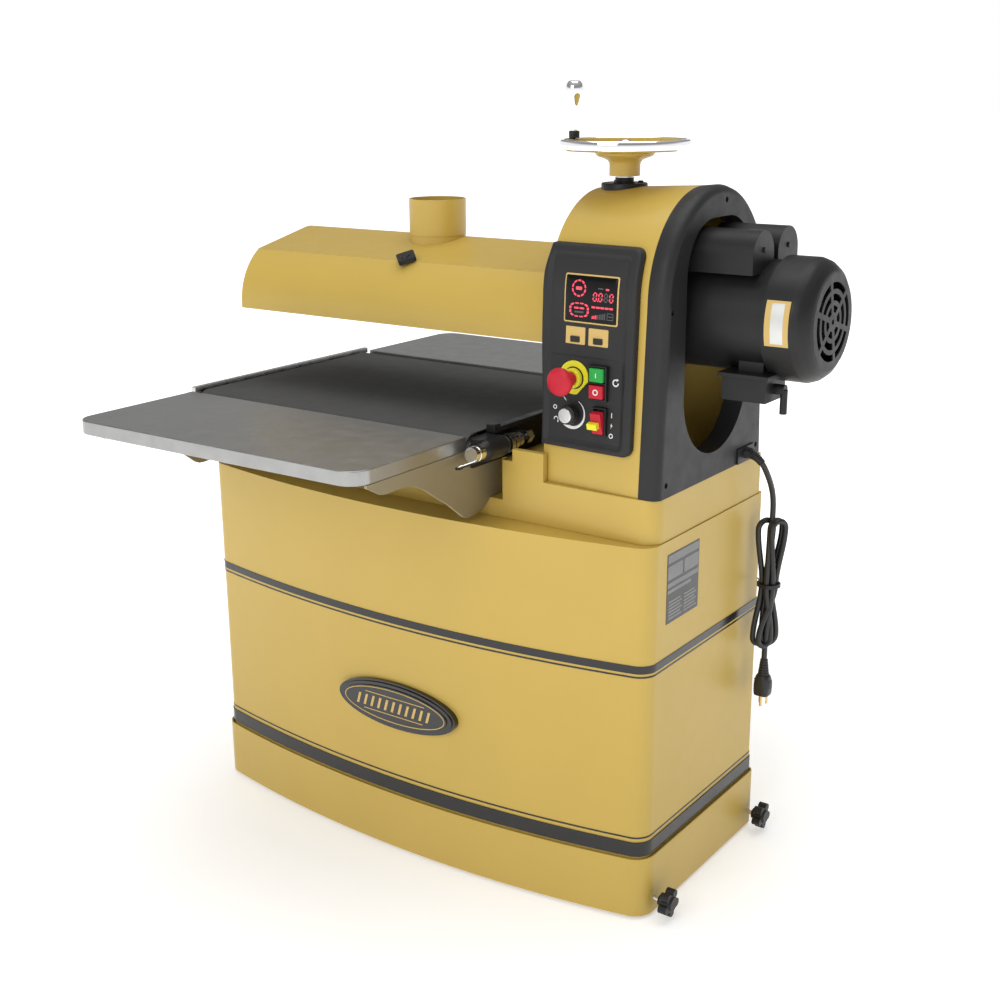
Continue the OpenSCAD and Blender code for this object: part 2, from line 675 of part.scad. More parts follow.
module fan_cover() {
  color(dark) difference() {
    union() {
      xcyl(566, 610, 0, drum_z, 92);
      xcyl(610, 622, 0, drum_z, 92, 88);
      xcyl(622, 632, 0, drum_z, 88, 80);
      xcyl(632, 638, 0, drum_z, 80, 70);
    }
    xcyl(569, 608, 0, drum_z, 89);
    xcyl(607.9, 620, 0, drum_z, 89, 85);
    xcyl(619.9, 635, 0, drum_z, 85, 70);
    xcyl(560, 570, 0, drum_z, 84);
    // three rings of air slots cut by six ribs
    difference() {
      union() for (q = [[14, 24], [31, 41], [48, 58]]) difference() {
        xcyl(632, 640, 0, drum_z, q[1]);
        xcyl(631, 641, 0, drum_z, q[0]);
      }
      for (a = [0, 60, 120]) translate([636, 0, drum_z]) rotate([a + 12, 0, 0]) box(-6, 6, -4, 4, -62, 62);
    }
    xcyl(632, 640, 0, drum_z, 4);
  }
}
module nameplate() {
  color(steel) intersection() {
    difference() { xcyl(572, 609, 0, drum_z, 92.8); xcyl(571, 610, 0, drum_z, 92.02); }
    box(570, 617, -95, -60, 928, 994);
  }
}
module junction_box() {
  color(dark) difference() {
    union() {
      box(504, 574, -80, -12, 841, 880);
      box(499, 580, -86, -7, 876, 882);
      box(520, 560, -60, -20, 876, 900);
      xcyl(574, 590, -46, 858, 8);
      zcyl(822, 858, 588, -46, 5.5);
    }
    xcyl(490, 600, 0, drum_z, 84.02);
    box(508, 570, -76, -16, 845, 876);
    xcyl(560, 610, 0, drum_z, 92.05);
  }
}

// ---------- lift handwheel ----------
module handwheel() {
  color(gold) difference() {
    union() {
      zcyl(wheel_z - 47, wheel_z - 20, wheel_x, 0, 24);
      zcyl(wheel_z - 24, wheel_z - 12, wheel_x, 0, 28, 46);
      zcyl(wheel_z - 12, wheel_z - 3, wheel_x, 0, 46, 88);
      zcyl(wheel_z - 3, wheel_z + 3, wheel_x, 0, 88);
    }
    zcyl(wheel_z - 10, wheel_z + 4, wheel_x, 0, 20, 82);
    zcyl(wheel_z - 50, wheel_z, wheel_x, 0, 10);
    translate([wheel_x, 0, wheel_z]) rotate_extrude() translate([wheel_r, 0]) circle(r = 8.25);
  }
  color(steel) {
    zcyl(974, 1104, wheel_x, 0, 9.99);
    zcyl(1103.9, wheel_z - 8, wheel_x, 0, 10);
    zcyl(wheel_z - 47.4, wheel_z - 46.9, wheel_x, 0, 14);
  }
}
module handwheel_rim() {
  color(chrome) translate([wheel_x, 0, wheel_z])
    rotate_extrude() translate([wheel_r, 0]) circle(r = 8.25);
}
module crank_handle() {
  x = wheel_x - 93;
  color(dark) difference() {
    zcyl(wheel_z + 8.6, wheel_z + 19, x, 0, 8.5);
  }
  color(chrome) {
    zcyl(wheel_z + 19, wheel_z + 50, x, 0, 5.6, 7.4);
    zcyl(wheel_z + 50, wheel_z + 72, x, 0, 7.4, 13);
    zcyl(wheel_z + 72, wheel_z + 86, x, 0, 13, 13.6);
    zcyl(wheel_z + 86, wheel_z + 95, x, 0, 13.6, 7);
  }
}

// ---------- drum line ----------
module drum() {
  color([0.45, 0.33, 0.24]) difference() {
    xcyl(drum_l, drum_e, 0, drum_z, drum_r);
    xcyl(drum_l - 1, drum_l + 20, 0, drum_z, 46);
    xcyl(drum_e - 20, drum_e + 1, 0, drum_z, 46);
  }
  color(steel) {
    xcyl(-440, 380, 0, drum_z, 12);
    xcyl(379, 596, 0, drum_z, 15);
    // cooling fan on the far end of the shaft
    xcyl(588, 592, 0, drum_z, 60);
    for (a = [0, 60, 120]) translate([0, 0, drum_z]) rotate([a, 0, 0]) box(576, 606, -1.5, 1.5, -74, 74);
  }
}
module pressure_roller(s) {
  color([0.35, 0.35, 0.35]) xcyl(-396, 148, s*88, 910, 12.5);
  color(steel) xcyl(-411, 263, s*88, 910, 5);
}
module pressure_roller_front() { pressure_roller(-1); }
module pressure_roller_rear() { pressure_roller(1); }

// ---------- skirt and clamp knobs ----------
module skirt() {
  color(gold) {
    difference() {
      slab(6, skirt_lo, skirt_hi);
      slab(3.5, skirt_lo - 1, skirt_hi + 1);
      for (y = [-knob_f, knob_b]) xcyl(400, 500, y, knob_z, 4.05);
    }
    // nuts that hold the clamp studs behind the cabinet wall
    for (y = [-knob_f, knob_b]) difference() {
      translate([445.4, y, knob_z]) rotate([0, 90, 0]) cylinder(h = 6, r = 7.5, $fn = 6);
      xcyl(444.4, 452.4, y, knob_z, 4.05);
    }
  }
}

module clamp_knob(sx, y) {
  translate([0, y, knob_z]) rotate([0, sx*90, 0]) {
    color(steel) zcyl(443, 476, 0, 0, 4);
    color(dark) {
      zcyl(472, 480, 0, 0, 9, 11);
      translate([0, 0, 480]) linear_extrude(height = 15) {
        circle(r = 15);
        for (a = [0:72:359]) rotate(a) translate([16, 0]) circle(r = 7.4);
      }
      zcyl(494, 498, 0, 0, 14, 11);
    }
  }
}
module knob_front_right() { clamp_knob(1, -knob_f); }
module knob_rear_right() { clamp_knob(1, knob_b); }

cabinet();
cabinet_decals();
leveling_feet();
oval_badge();
base_casting();
head_housing();
side_cover();
side_cover_screws();
control_panel();
display_frame();
display_glass();
estop_collar();
switch_block();
screw_flange();
lift_columns();
conveyor_bed();
side_rails();
conveyor_belt();
infeed_table();
outfeed_table();
table_brackets();
roller_bearings();
conveyor_gearmotor();
cord_gland();
cord_lead();
cord_hank();
cord_tie();
cord_tail();
plug();
drum_carriage();
hood_shell();
end_support();
motor_body();
capacitor_covers();
junction_box();
fan_cover();
nameplate();
handwheel();
handwheel_rim();
crank_handle();
drum();
pressure_roller_front();
pressure_roller_rear();
hood_lid();
dust_port();
hood_latch();
drive_roller();
idle_roller();
estop_button();
start_button();
stop_button();
key_left();
key_right();
speed_dial();
toggle_switch();
skirt();
knob_front_right();
knob_rear_right();
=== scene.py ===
"""Looks for the open-ended drum sander: materials, softened edges, and detailed pieces around the CAD frame.

Lengths in this script are millimetres in the row frame, turned to metres where Blender objects are made.
"""

import math

import bmesh
import bpy
from mathutils import Matrix, Vector


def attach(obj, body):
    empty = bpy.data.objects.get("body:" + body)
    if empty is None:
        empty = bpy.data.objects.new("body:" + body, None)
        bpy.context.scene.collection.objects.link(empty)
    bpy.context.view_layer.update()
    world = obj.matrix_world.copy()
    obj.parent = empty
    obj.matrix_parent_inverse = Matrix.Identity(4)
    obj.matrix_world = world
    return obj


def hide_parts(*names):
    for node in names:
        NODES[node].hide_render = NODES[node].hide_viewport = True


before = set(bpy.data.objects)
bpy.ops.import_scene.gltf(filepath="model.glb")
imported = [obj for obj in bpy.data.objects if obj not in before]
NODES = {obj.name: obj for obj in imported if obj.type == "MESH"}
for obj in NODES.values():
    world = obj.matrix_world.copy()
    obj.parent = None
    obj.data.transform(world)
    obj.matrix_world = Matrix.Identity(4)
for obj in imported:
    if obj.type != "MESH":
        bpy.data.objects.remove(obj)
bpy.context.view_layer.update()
MM = 0.001
WHEEL_X, CRANK_X = 285, 192  # axes of the lift wheel and of its crank
DRUM_Z = 956  # height of the drum's and the motor's axis
ROLLER_Y, ROLLER_Z = 88, 910  # pressure rollers
TAKEUP_X, TAKEUP_Z = 177, 746  # the belt's tension group on the right


# ---------------------------------------------------------------- camera
def aim_camera():
    yaw, pitch, roll = (math.radians(a) for a in (-35.308, -16.529, -0.348))
    ahead = Vector((math.sin(yaw) * math.cos(pitch), math.cos(yaw) * math.cos(pitch), math.sin(pitch)))
    right = Vector((math.cos(yaw), -math.sin(yaw), 0))
    up = right.cross(ahead)
    right2 = right * math.cos(roll) + up * math.sin(roll)
    up2 = up * math.cos(roll) - right * math.sin(roll)
    data = bpy.data.cameras.new("camera")
    data.lens, data.sensor_width = 50.87, 36
    data.shift_x, data.shift_y = -0.002, 0.0017
    data.clip_start, data.clip_end = 0.05, 200
    cam = bpy.data.objects.new("camera", data)
    rot = Matrix((right2, up2, -ahead)).transposed()
    cam.matrix_world = Matrix.Translation((1.4215, -1.9383, 1.2916)) @ rot.to_4x4()
    bpy.context.scene.collection.objects.link(cam)
    bpy.context.scene.camera = cam


aim_camera()


# ---------------------------------------------------------------- materials
def look(
    name,
    base,
    rough=0.5,
    metal=0.0,
    spec=0.5,
    coat=0.0,
    coat_rough=0.1,
    vary=0.06,
    vary_scale=7.0,
    rough_var=0.06,
    rough_scale=35.0,
    grain=1500.0,
    depth=0.05,
    strength=0.3,
    stretch=(1, 1, 1),
    aniso=0.0,
    glow=None,
    speck=None,
):
    """A procedural material: base colour that drifts, roughness that drifts, and a fine bump.

    depth is the bump's height in millimetres, stretch scales the grain along each axis, and speck is
    (scale, amount, colour) for a second, finer speckle in the colour."""
    m = bpy.data.materials.new(name)
    m.use_nodes = True
    nt = m.node_tree
    b = nt.nodes["Principled BSDF"]
    b.inputs["Metallic"].default_value = metal
    b.inputs["Specular IOR Level"].default_value = spec
    b.inputs["Coat Weight"].default_value = coat
    b.inputs["Coat Roughness"].default_value = coat_rough
    b.inputs["Anisotropic"].default_value = aniso

    def node(kind, **values):
        n = nt.nodes.new(kind)
        for k, v in values.items():
            n.inputs[k].default_value = v
        return n

    where = nt.nodes.new("ShaderNodeTexCoord")

    def noise(scale, detail=3.0, scale3=(1, 1, 1)):
        mp = node("ShaderNodeMapping", Scale=scale3)
        nt.links.new(where.outputs["Object"], mp.inputs["Vector"])
        n = node("ShaderNodeTexNoise", Scale=scale, Detail=detail, Roughness=0.6)
        nt.links.new(mp.outputs["Vector"], n.inputs["Vector"])
        return n.outputs["Fac"]

    def ramp(source, lo, hi, c0, c1):
        r = nt.nodes.new("ShaderNodeValToRGB")
        r.color_ramp.elements[0].position, r.color_ramp.elements[1].position = lo, hi
        r.color_ramp.elements[0].color = (*c0, 1)
        r.color_ramp.elements[1].color = (*c1, 1)
        nt.links.new(source, r.inputs["Fac"])
        return r.outputs["Color"]

    low = [c * (1 - vary) for c in base]
    high = [min(1, c * (1 + vary)) for c in base]
    colour = ramp(noise(vary_scale, 4.0), 0.3, 0.7, low, high)
    if speck:
        dots = ramp(noise(speck[0], 1.0), 0.5 + 0.2 * (1 - speck[1]), 0.75, (0, 0, 0), (1, 1, 1))
        mix = nt.nodes.new("ShaderNodeMix")
        mix.data_type = "RGBA"
        nt.links.new(dots, mix.inputs[0])
        nt.links.new(colour, mix.inputs[6])
        mix.inputs[7].default_value = (*speck[2], 1)
        colour = mix.outputs[2]
    nt.links.new(colour, b.inputs["Base Color"])
    spread = node(
        "ShaderNodeMapRange",
        **{"From Min": 0.3, "From Max": 0.7, "To Min": max(0.02, rough - rough_var),
           "To Max": min(1, rough + rough_var)},
    )
    nt.links.new(noise(rough_scale, 4.0, stretch if aniso else (1, 1, 1)), spread.inputs["Value"])
    nt.links.new(spread.outputs["Result"], b.inputs["Roughness"])
    bump = node("ShaderNodeBump", Strength=strength, Distance=depth * MM)
    nt.links.new(noise(grain, 2.0, stretch), bump.inputs["Height"])
    nt.links.new(bump.outputs["Normal"], b.inputs["Normal"])
    if glow:
        b.inputs["Emission Color"].default_value = (*base, 1)
        b.inputs["Emission Strength"].default_value = glow
    return m


GOLD = look("gold_paint", (0.56, 0.388, 0.082), rough=0.38, spec=0.32, coat=0.12, coat_rough=0.2, vary=0.02,
            rough_var=0.04, grain=420, depth=0.06, strength=0.25)
GOLD_IN = look("gold_paint_inside", (0.52, 0.36, 0.085), rough=0.5, vary=0.05, grain=500, depth=0.05)
PANEL = look("panel_plastic", (0.022, 0.022, 0.0225), rough=0.5, spec=0.3, vary=0.05, grain=1900, depth=0.05,
             strength=0.5)
COVER = look("cover_plastic", (0.020, 0.020, 0.0205), rough=0.46, spec=0.3, vary=0.06, grain=1500, depth=0.05,
             strength=0.5)
BLACK = look("black_paint", (0.011, 0.011, 0.0115), rough=0.4, spec=0.3, vary=0.08, grain=900, depth=0.04,
             strength=0.3)
MOTOR = look("motor_paint", (0.013, 0.013, 0.0135), rough=0.42, spec=0.3, vary=0.08, grain=1100, depth=0.05,
             strength=0.4)
PLASTIC = look("black_plastic", (0.013, 0.013, 0.0135), rough=0.38, spec=0.35, vary=0.08, grain=1300,
               depth=0.03, strength=0.4)
GLOSS = look("black_gloss", (0.008, 0.008, 0.009), rough=0.14, vary=0.1, coat=0.5, coat_rough=0.05, grain=300,
             depth=0.02, strength=0.2, rough_var=0.04)
FILM = look("stripe_film", (0.012, 0.012, 0.013), rough=0.2, vary=0.1, grain=400, depth=0.02, strength=0.2)
SCREEN = look("screen_glass", (0.003, 0.003, 0.0035), rough=0.22, spec=0.22, vary=0.2, grain=200, depth=0.01,
              rough_var=0.02)
GOLDFILM = look("gold_print", (0.62, 0.42, 0.13), rough=0.4, vary=0.05, grain=1600, depth=0.02)
YELLOW = look("yellow_plastic", (0.80, 0.74, 0.03), rough=0.4, spec=0.3, vary=0.04, grain=1200, depth=0.03)
RED = look("red_plastic", (0.52, 0.012, 0.03), rough=0.4, spec=0.3, vary=0.05, grain=1200, depth=0.03)
GREEN = look("green_plastic", (0.02, 0.36, 0.06), rough=0.4, spec=0.3, vary=0.05, grain=1200, depth=0.03)
WHITE = look("white_print", (0.78, 0.78, 0.78), rough=0.5, vary=0.04, grain=1500, depth=0.02)
GREY = look("grey_print", (0.22, 0.22, 0.22), rough=0.5, vary=0.06, grain=1500, depth=0.02)
LED = look("led_lit", (0.72, 0.05, 0.09), rough=0.4, vary=0.02, glow=0.75)
LED_OFF = look("led_unlit", (0.07, 0.07, 0.075), rough=0.4, vary=0.05)
STEEL = look("machined_steel", (0.58, 0.575, 0.56), rough=0.3, metal=1, vary=0.06, grain=900, depth=0.03,
             strength=0.35, rough_var=0.08)
BRUSHED = look("brushed_steel", (0.34, 0.34, 0.336), rough=0.36, metal=1, vary=0.03, grain=700, depth=0.03,
               strength=0.45, stretch=(0.02, 1, 1), aniso=0.5, rough_var=0.07, rough_scale=260)
BRIGHT = look("bright_steel", (0.80, 0.80, 0.79), rough=0.2, metal=1, vary=0.04, grain=700, depth=0.02)
CHROME = look("chrome_plate", (0.88, 0.88, 0.90), rough=0.05, metal=1, vary=0.02, rough_var=0.03,
              rough_scale=18, grain=120, depth=0.01, strength=0.1)
RIM = look("machined_rim", (0.36, 0.36, 0.355), rough=0.42, metal=1, vary=0.04, grain=700, depth=0.02,
           rough_var=0.08)
# Table brackets: steel whose brownish gold tint is a painted reflection of the gold casting, darkened with
# painted shade
BRACKET_PAINTED_REFLECTION = look("bracket_painted_reflection", (0.30, 0.26, 0.17), rough=0.46, metal=0.45, vary=0.05, grain=600, depth=0.03,
               strength=0.25)
BRASS = look("brass", (0.70, 0.50, 0.20), rough=0.28, metal=1, vary=0.06)
BELT = look("belt_grit", (0.075, 0.075, 0.075), rough=0.85, spec=0.25, vary=0.06, grain=900, depth=0.35,
            strength=0.6, speck=(1400, 0.5, (0.14, 0.14, 0.14)), rough_var=0.08)
RUBBER = look("cord_rubber", (0.014, 0.014, 0.014), rough=0.42, vary=0.1, grain=900, depth=0.04)
ROLLER = look("roller_rubber", (0.05, 0.05, 0.05), rough=0.7, vary=0.08, grain=1100, depth=0.08)
GRIT = look("abrasive", (0.17, 0.085, 0.05), rough=0.9, vary=0.1, grain=1100, depth=0.4, strength=0.8,
            speck=(1300, 0.6, (0.32, 0.19, 0.12)))
DIAL = look("dial_cap", (0.62, 0.62, 0.63), rough=0.3, metal=0.9, vary=0.03, grain=1500, depth=0.03)
SILVER = look("plate_silver", (0.62, 0.62, 0.60), rough=0.35, metal=0.8, vary=0.04, grain=900, depth=0.02)


# ---------------------------------------------------------------- CAD nodes
def soften(node, material, edge=1.0, segments=2, angle=32, zones=()):
    """Puts a material on a CAD node, rounds its edges by edge mm, and gives zones of faces other materials.

    A zone is (material, test), and test takes a face's centre in millimetres."""
    o = NODES[node]
    me = o.data
    if "custom_normal" in me.attributes:
        me.attributes.remove(me.attributes["custom_normal"])
    me.materials.clear()
    me.materials.append(material)
    for m, _ in zones:
        me.materials.append(m)
    for p in me.polygons:
        p.use_smooth = True
        p.material_index = 0
        c = p.center / MM
        for i, (_, test) in enumerate(zones):
            if test(c):
                p.material_index = i + 1
    weld = o.modifiers.new("weld", "WELD")
    weld.merge_threshold = 1e-5
    flat = o.modifiers.new("flat", "DECIMATE")
    flat.decimate_type = "DISSOLVE"
    flat.angle_limit = math.radians(0.15)
    flat.delimit = {"MATERIAL"}
    if edge:
        bev = o.modifiers.new("edges", "BEVEL")
        bev.limit_method, bev.angle_limit = "ANGLE", math.radians(angle)
        bev.width, bev.segments = edge * MM, segments
        bev.use_clamp_overlap = True
    nor = o.modifiers.new("normals", "WEIGHTED_NORMAL")
    nor.keep_sharp = True
    return o


# ---------------------------------------------------------------- mesh helpers
def finish_piece(name, bm, body, material, replaces=(), edge=0, segments=2, angle=30, sharp=35):
    if isinstance(material, (list, tuple)):
        mats = list(material)
    else:
        mats = [material]
    bmesh.ops.recalc_face_normals(bm, faces=bm.faces)
    for v in bm.verts:
        v.co *= MM
    me = bpy.data.meshes.new(name)
    bm.to_mesh(me)
    bm.free()
    for m in mats:
        me.materials.append(m)
    for p in me.polygons:
        p.use_smooth = True
    o = bpy.data.objects.new(name, me)
    bpy.context.scene.collection.objects.link(o)
    if edge:
        bev = o.modifiers.new("edges", "BEVEL")
        bev.limit_method, bev.angle_limit = "ANGLE", math.radians(angle)
        bev.width, bev.segments = edge * MM, segments
        nor = o.modifiers.new("normals", "WEIGHTED_NORMAL")
        nor.keep_sharp = True
    else:
        me.set_sharp_from_angle(angle=math.radians(sharp))
    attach(o, body)
    if replaces:
        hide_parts(*replaces)
    return o


AXES = {
    "X": (Vector((1, 0, 0)), Vector((0, 1, 0)), Vector((0, 0, 1))),
    "Y": (Vector((0, 1, 0)), Vector((0, 0, 1)), Vector((1, 0, 0))),
    "Z": (Vector((0, 0, 1)), Vector((1, 0, 0)), Vector((0, 1, 0))),
}


def turn(k, n):
    """Cosine and sine of step k of n round a circle."""
    a = 2 * math.pi * k / n
    return math.cos(a), math.sin(a)


def facing_side(p, q, h):
    """Places an outline's (y, z) on the machine's side, at x = h."""
    return Vector((h, p, q))


def facing_front(p, q, h):
    """Places an outline's (x, z) on the machine's front, at depth h."""
    return Vector((p, h, q))


def lathe(bm, profile, axis, centre, n=96, mat=0, close=False):
    """Turns profile, a list of (radius, position along the axis), about a line along axis through centre."""
    a, u, w = AXES[axis] if isinstance(axis, str) else axis
    c = Vector(centre)
    rings = []
    for r, h in profile:
        if r < 1e-6:
            rings.append([bm.verts.new(c + a * h)])
        else:
            rings.append([
                bm.verts.new(c + a * h + u * (r * turn(k, n)[0]) + w * (r * turn(k, n)[1]))
                for k in range(n)
            ])
    pairs = list(zip(rings, rings[1:]))
    if close:
        pairs.append((rings[-1], rings[0]))
    for p, q in pairs:
        for k in range(n):
            j = (k + 1) % n
            quad = [p[k % len(p)], p[j % len(p)], q[j % len(q)], q[k % len(q)]]
            quad = list(dict.fromkeys(quad))
            if len(quad) > 2:
                bm.faces.new(quad).material_index = mat
    for ring in () if close else (rings[0], rings[-1]):
        if len(ring) > 2:
            bm.faces.new(ring).material_index = mat


def smooth_profile(points, steps=6):
    """Catmull-Rom through (radius, height) points."""
    pts = [points[0]] + list(points) + [points[-1]]
    out = []
    for i in range(1, len(pts) - 2):
        for k in range(steps):
            out.append(tuple(spline(pts[i - 1], pts[i], pts[i + 1], pts[i + 2], k / steps)))
    out.append(tuple(points[-1]))
    return out


def spline(p0, p1, p2, p3, t):
    return [
        0.5 * (2 * b + (c - a) * t + (2 * a - 5 * b + 4 * c - d) * t * t + (3 * b - a - 3 * c + d) * t ** 3)
        for a, b, c, d in zip(p0, p1, p2, p3)
    ]


def prism(bm, outline, axis, lo, hi, mat=0, place=None):
    """Extrudes a closed outline of (u, w) points along axis. place maps (u, w, h) to a point."""
    a, u, w = AXES[axis]
    put = place or (lambda p, q, h: u * p + w * q + a * h)
    lower = [bm.verts.new(put(p, q, lo)) for p, q in outline]
    upper = [bm.verts.new(put(p, q, hi)) for p, q in outline]
    n = len(outline)
    for k in range(n):
        j = (k + 1) % n
        bm.faces.new((lower[k], lower[j], upper[j], upper[k])).material_index = mat
    bm.faces.new(lower[::-1]).material_index = mat
    bm.faces.new(upper).material_index = mat


def rrect(x0, x1, z0, z1, r, n=6):
    pts = []
    for cx, cz, a0 in ((x1 - r, z1 - r, 0), (x0 + r, z1 - r, 90), (x0 + r, z0 + r, 180),
                       (x1 - r, z0 + r, 270)):
        for k in range(n + 1):
            a = math.radians(a0 + 90 * k / n)
            pts.append((cx + r * math.cos(a), cz + r * math.sin(a)))
    return pts


def oval(cx, cz, a, b, n=96):
    return [(cx + a * turn(k, n)[0], cz + b * turn(k, n)[1]) for k in range(n)]


def block(bm, x0, x1, y0, y1, z0, z1, mat=0):
    prism(bm, [(x0, z0), (x1, z0), (x1, z1), (x0, z1)], "Y", y0, y1, mat, place=facing_front)


def tube(bm, pts, r, n=12, mat=0, closed=False):
    pts = [Vector(p) for p in pts]
    m = len(pts)
    rings = []
    side = None
    for i, p in enumerate(pts):
        q0 = pts[(i - 1) % m] if closed or i else pts[i]
        q1 = pts[(i + 1) % m] if closed or i < m - 1 else pts[i]
        t = (q1 - q0).normalized()
        if side is None:
            side = t.orthogonal().normalized()
        side = (side - t * side.dot(t)).normalized()
        other = t.cross(side)
        rings.append([bm.verts.new(p + (side * turn(k, n)[0] + other * turn(k, n)[1]) * r) for k in range(n)])
    pairs = list(zip(rings, rings[1:])) + ([(rings[-1], rings[0])] if closed else [])
    for a, b in pairs:
        for k in range(n):
            j = (k + 1) % n
            bm.faces.new((a[k], a[j], b[j], b[k])).material_index = mat
    if not closed:
        bm.faces.new(rings[0][::-1]).material_index = mat
        bm.faces.new(rings[-1]).material_index = mat


def arc_band(cx, cz, r0, r1, a0, a1, n=24, r0b=None, r1b=None):
    """A flat ring part from angle a0 to a1, whose inner and outer radii may change along it."""
    r0b, r1b = r0 if r0b is None else r0b, r1 if r1b is None else r1b
    outer, inner = [], []
    for k in range(n + 1):
        t = k / n
        a = math.radians(a0 + (a1 - a0) * t)
        ri, ro = r0 + (r0b - r0) * t, r1 + (r1b - r1) * t
        outer.append((cx + ro * math.cos(a), cz + ro * math.sin(a)))
        inner.append((cx + ri * math.cos(a), cz + ri * math.sin(a)))
    return outer + inner[::-1]


# ---------------------------------------------------------------- mains cord
HANK_Z = (575.0, 477.0, 383.0)  # end of the upper folds, waist, end of the lower folds


def hank_point(z, s, n):
    t = (HANK_Z[0] - z) / (HANK_Z[0] - HANK_Z[2])
    centre = Vector((490, 156 - 3.5 * t, z))
    return centre + Vector((0.431, 0.902, 0)) * s + Vector((0.902, -0.431, 0)) * n


def run_of_cord(top, waist, low, down=True):
    """One run of the hank between its folds; each end is (s, n), across and through the bundle."""
    zt, zw, zl = HANK_Z
    pts = []
    for k in range(33):
        z = zt + (zl - zt) * k / 32
        if z >= zw:
            t, a, b = (zt - z) / (zt - zw), top, waist
        else:
            t, a, b = (zw - z) / (zw - zl), waist, low
        e = t * t * (3 - 2 * t)
        pts.append(hank_point(z, a[0] + (b[0] - a[0]) * e, a[1] + (b[1] - a[1]) * e))
    return pts if down else pts[::-1]


def fold_of_cord(a, b, upper):
    """Half a turn from (s, n) a to b, above the upper ends or below the lower ones."""
    z, sign = (HANK_Z[0], 1) if upper else (HANK_Z[2], -1)
    r = abs(b[0] - a[0]) / 2
    pts = []
    for k in range(1, 14):
        t = k / 14
        s = (a[0] + b[0]) / 2 + (a[0] - b[0]) / 2 * math.cos(math.pi * t)
        n = a[1] + (b[1] - a[1]) * t
        p = hank_point(z, s, n)
        p.z += sign * r * math.sin(math.pi * t)
        pts.append(p)
    return pts


def cord_route():
    lead = [(459, 112, 711.4), (466, 112, 710.4), (474, 112.3, 707), (481.5, 114, 700.5), (486.5, 118, 691.5),
            (489, 124, 681), (490, 132, 669.5), (490, 141, 657), (490, 149, 643), (490, 154.5, 627),
            (490, 156.5, 610), (490, 156.3, 592)]
    pts = [Vector(spline(lead[max(i - 1, 0)], lead[i], lead[i + 1], lead[min(i + 2, len(lead) - 1)], k / 3))
           for i in range(len(lead) - 1) for k in range(3)]
    outer, inner = 21, 7
    runs = [((0, 0), (0, 0), (inner, -8)), ((-outer, -9), (-10, -6), (-outer, -9)),
            ((inner, -5), (1, -10), (-inner, -4)), ((outer, 1), (10, -6), (outer, 1)),
            ((-inner, 4), (-10, 6), (inner, 4)), ((outer, 10), (10, 6), (-outer, 6)),
            ((-inner, 9), (0, 10), (-2, 3))]
    for i, (top, waist, low) in enumerate(runs):
        down = i % 2 == 0
        pts += run_of_cord(top, waist, low, down)
        if i < len(runs) - 1:
            nxt = runs[i + 1]
            pts += fold_of_cord(low if down else top, nxt[2] if down else nxt[0], not down)
    pts += [Vector(p) for p in ((489.5, 151.6, 372), (490, 151, 362), (490, 151, 352), (490, 151, 342),
                                (490, 151, 333))]
    return pts


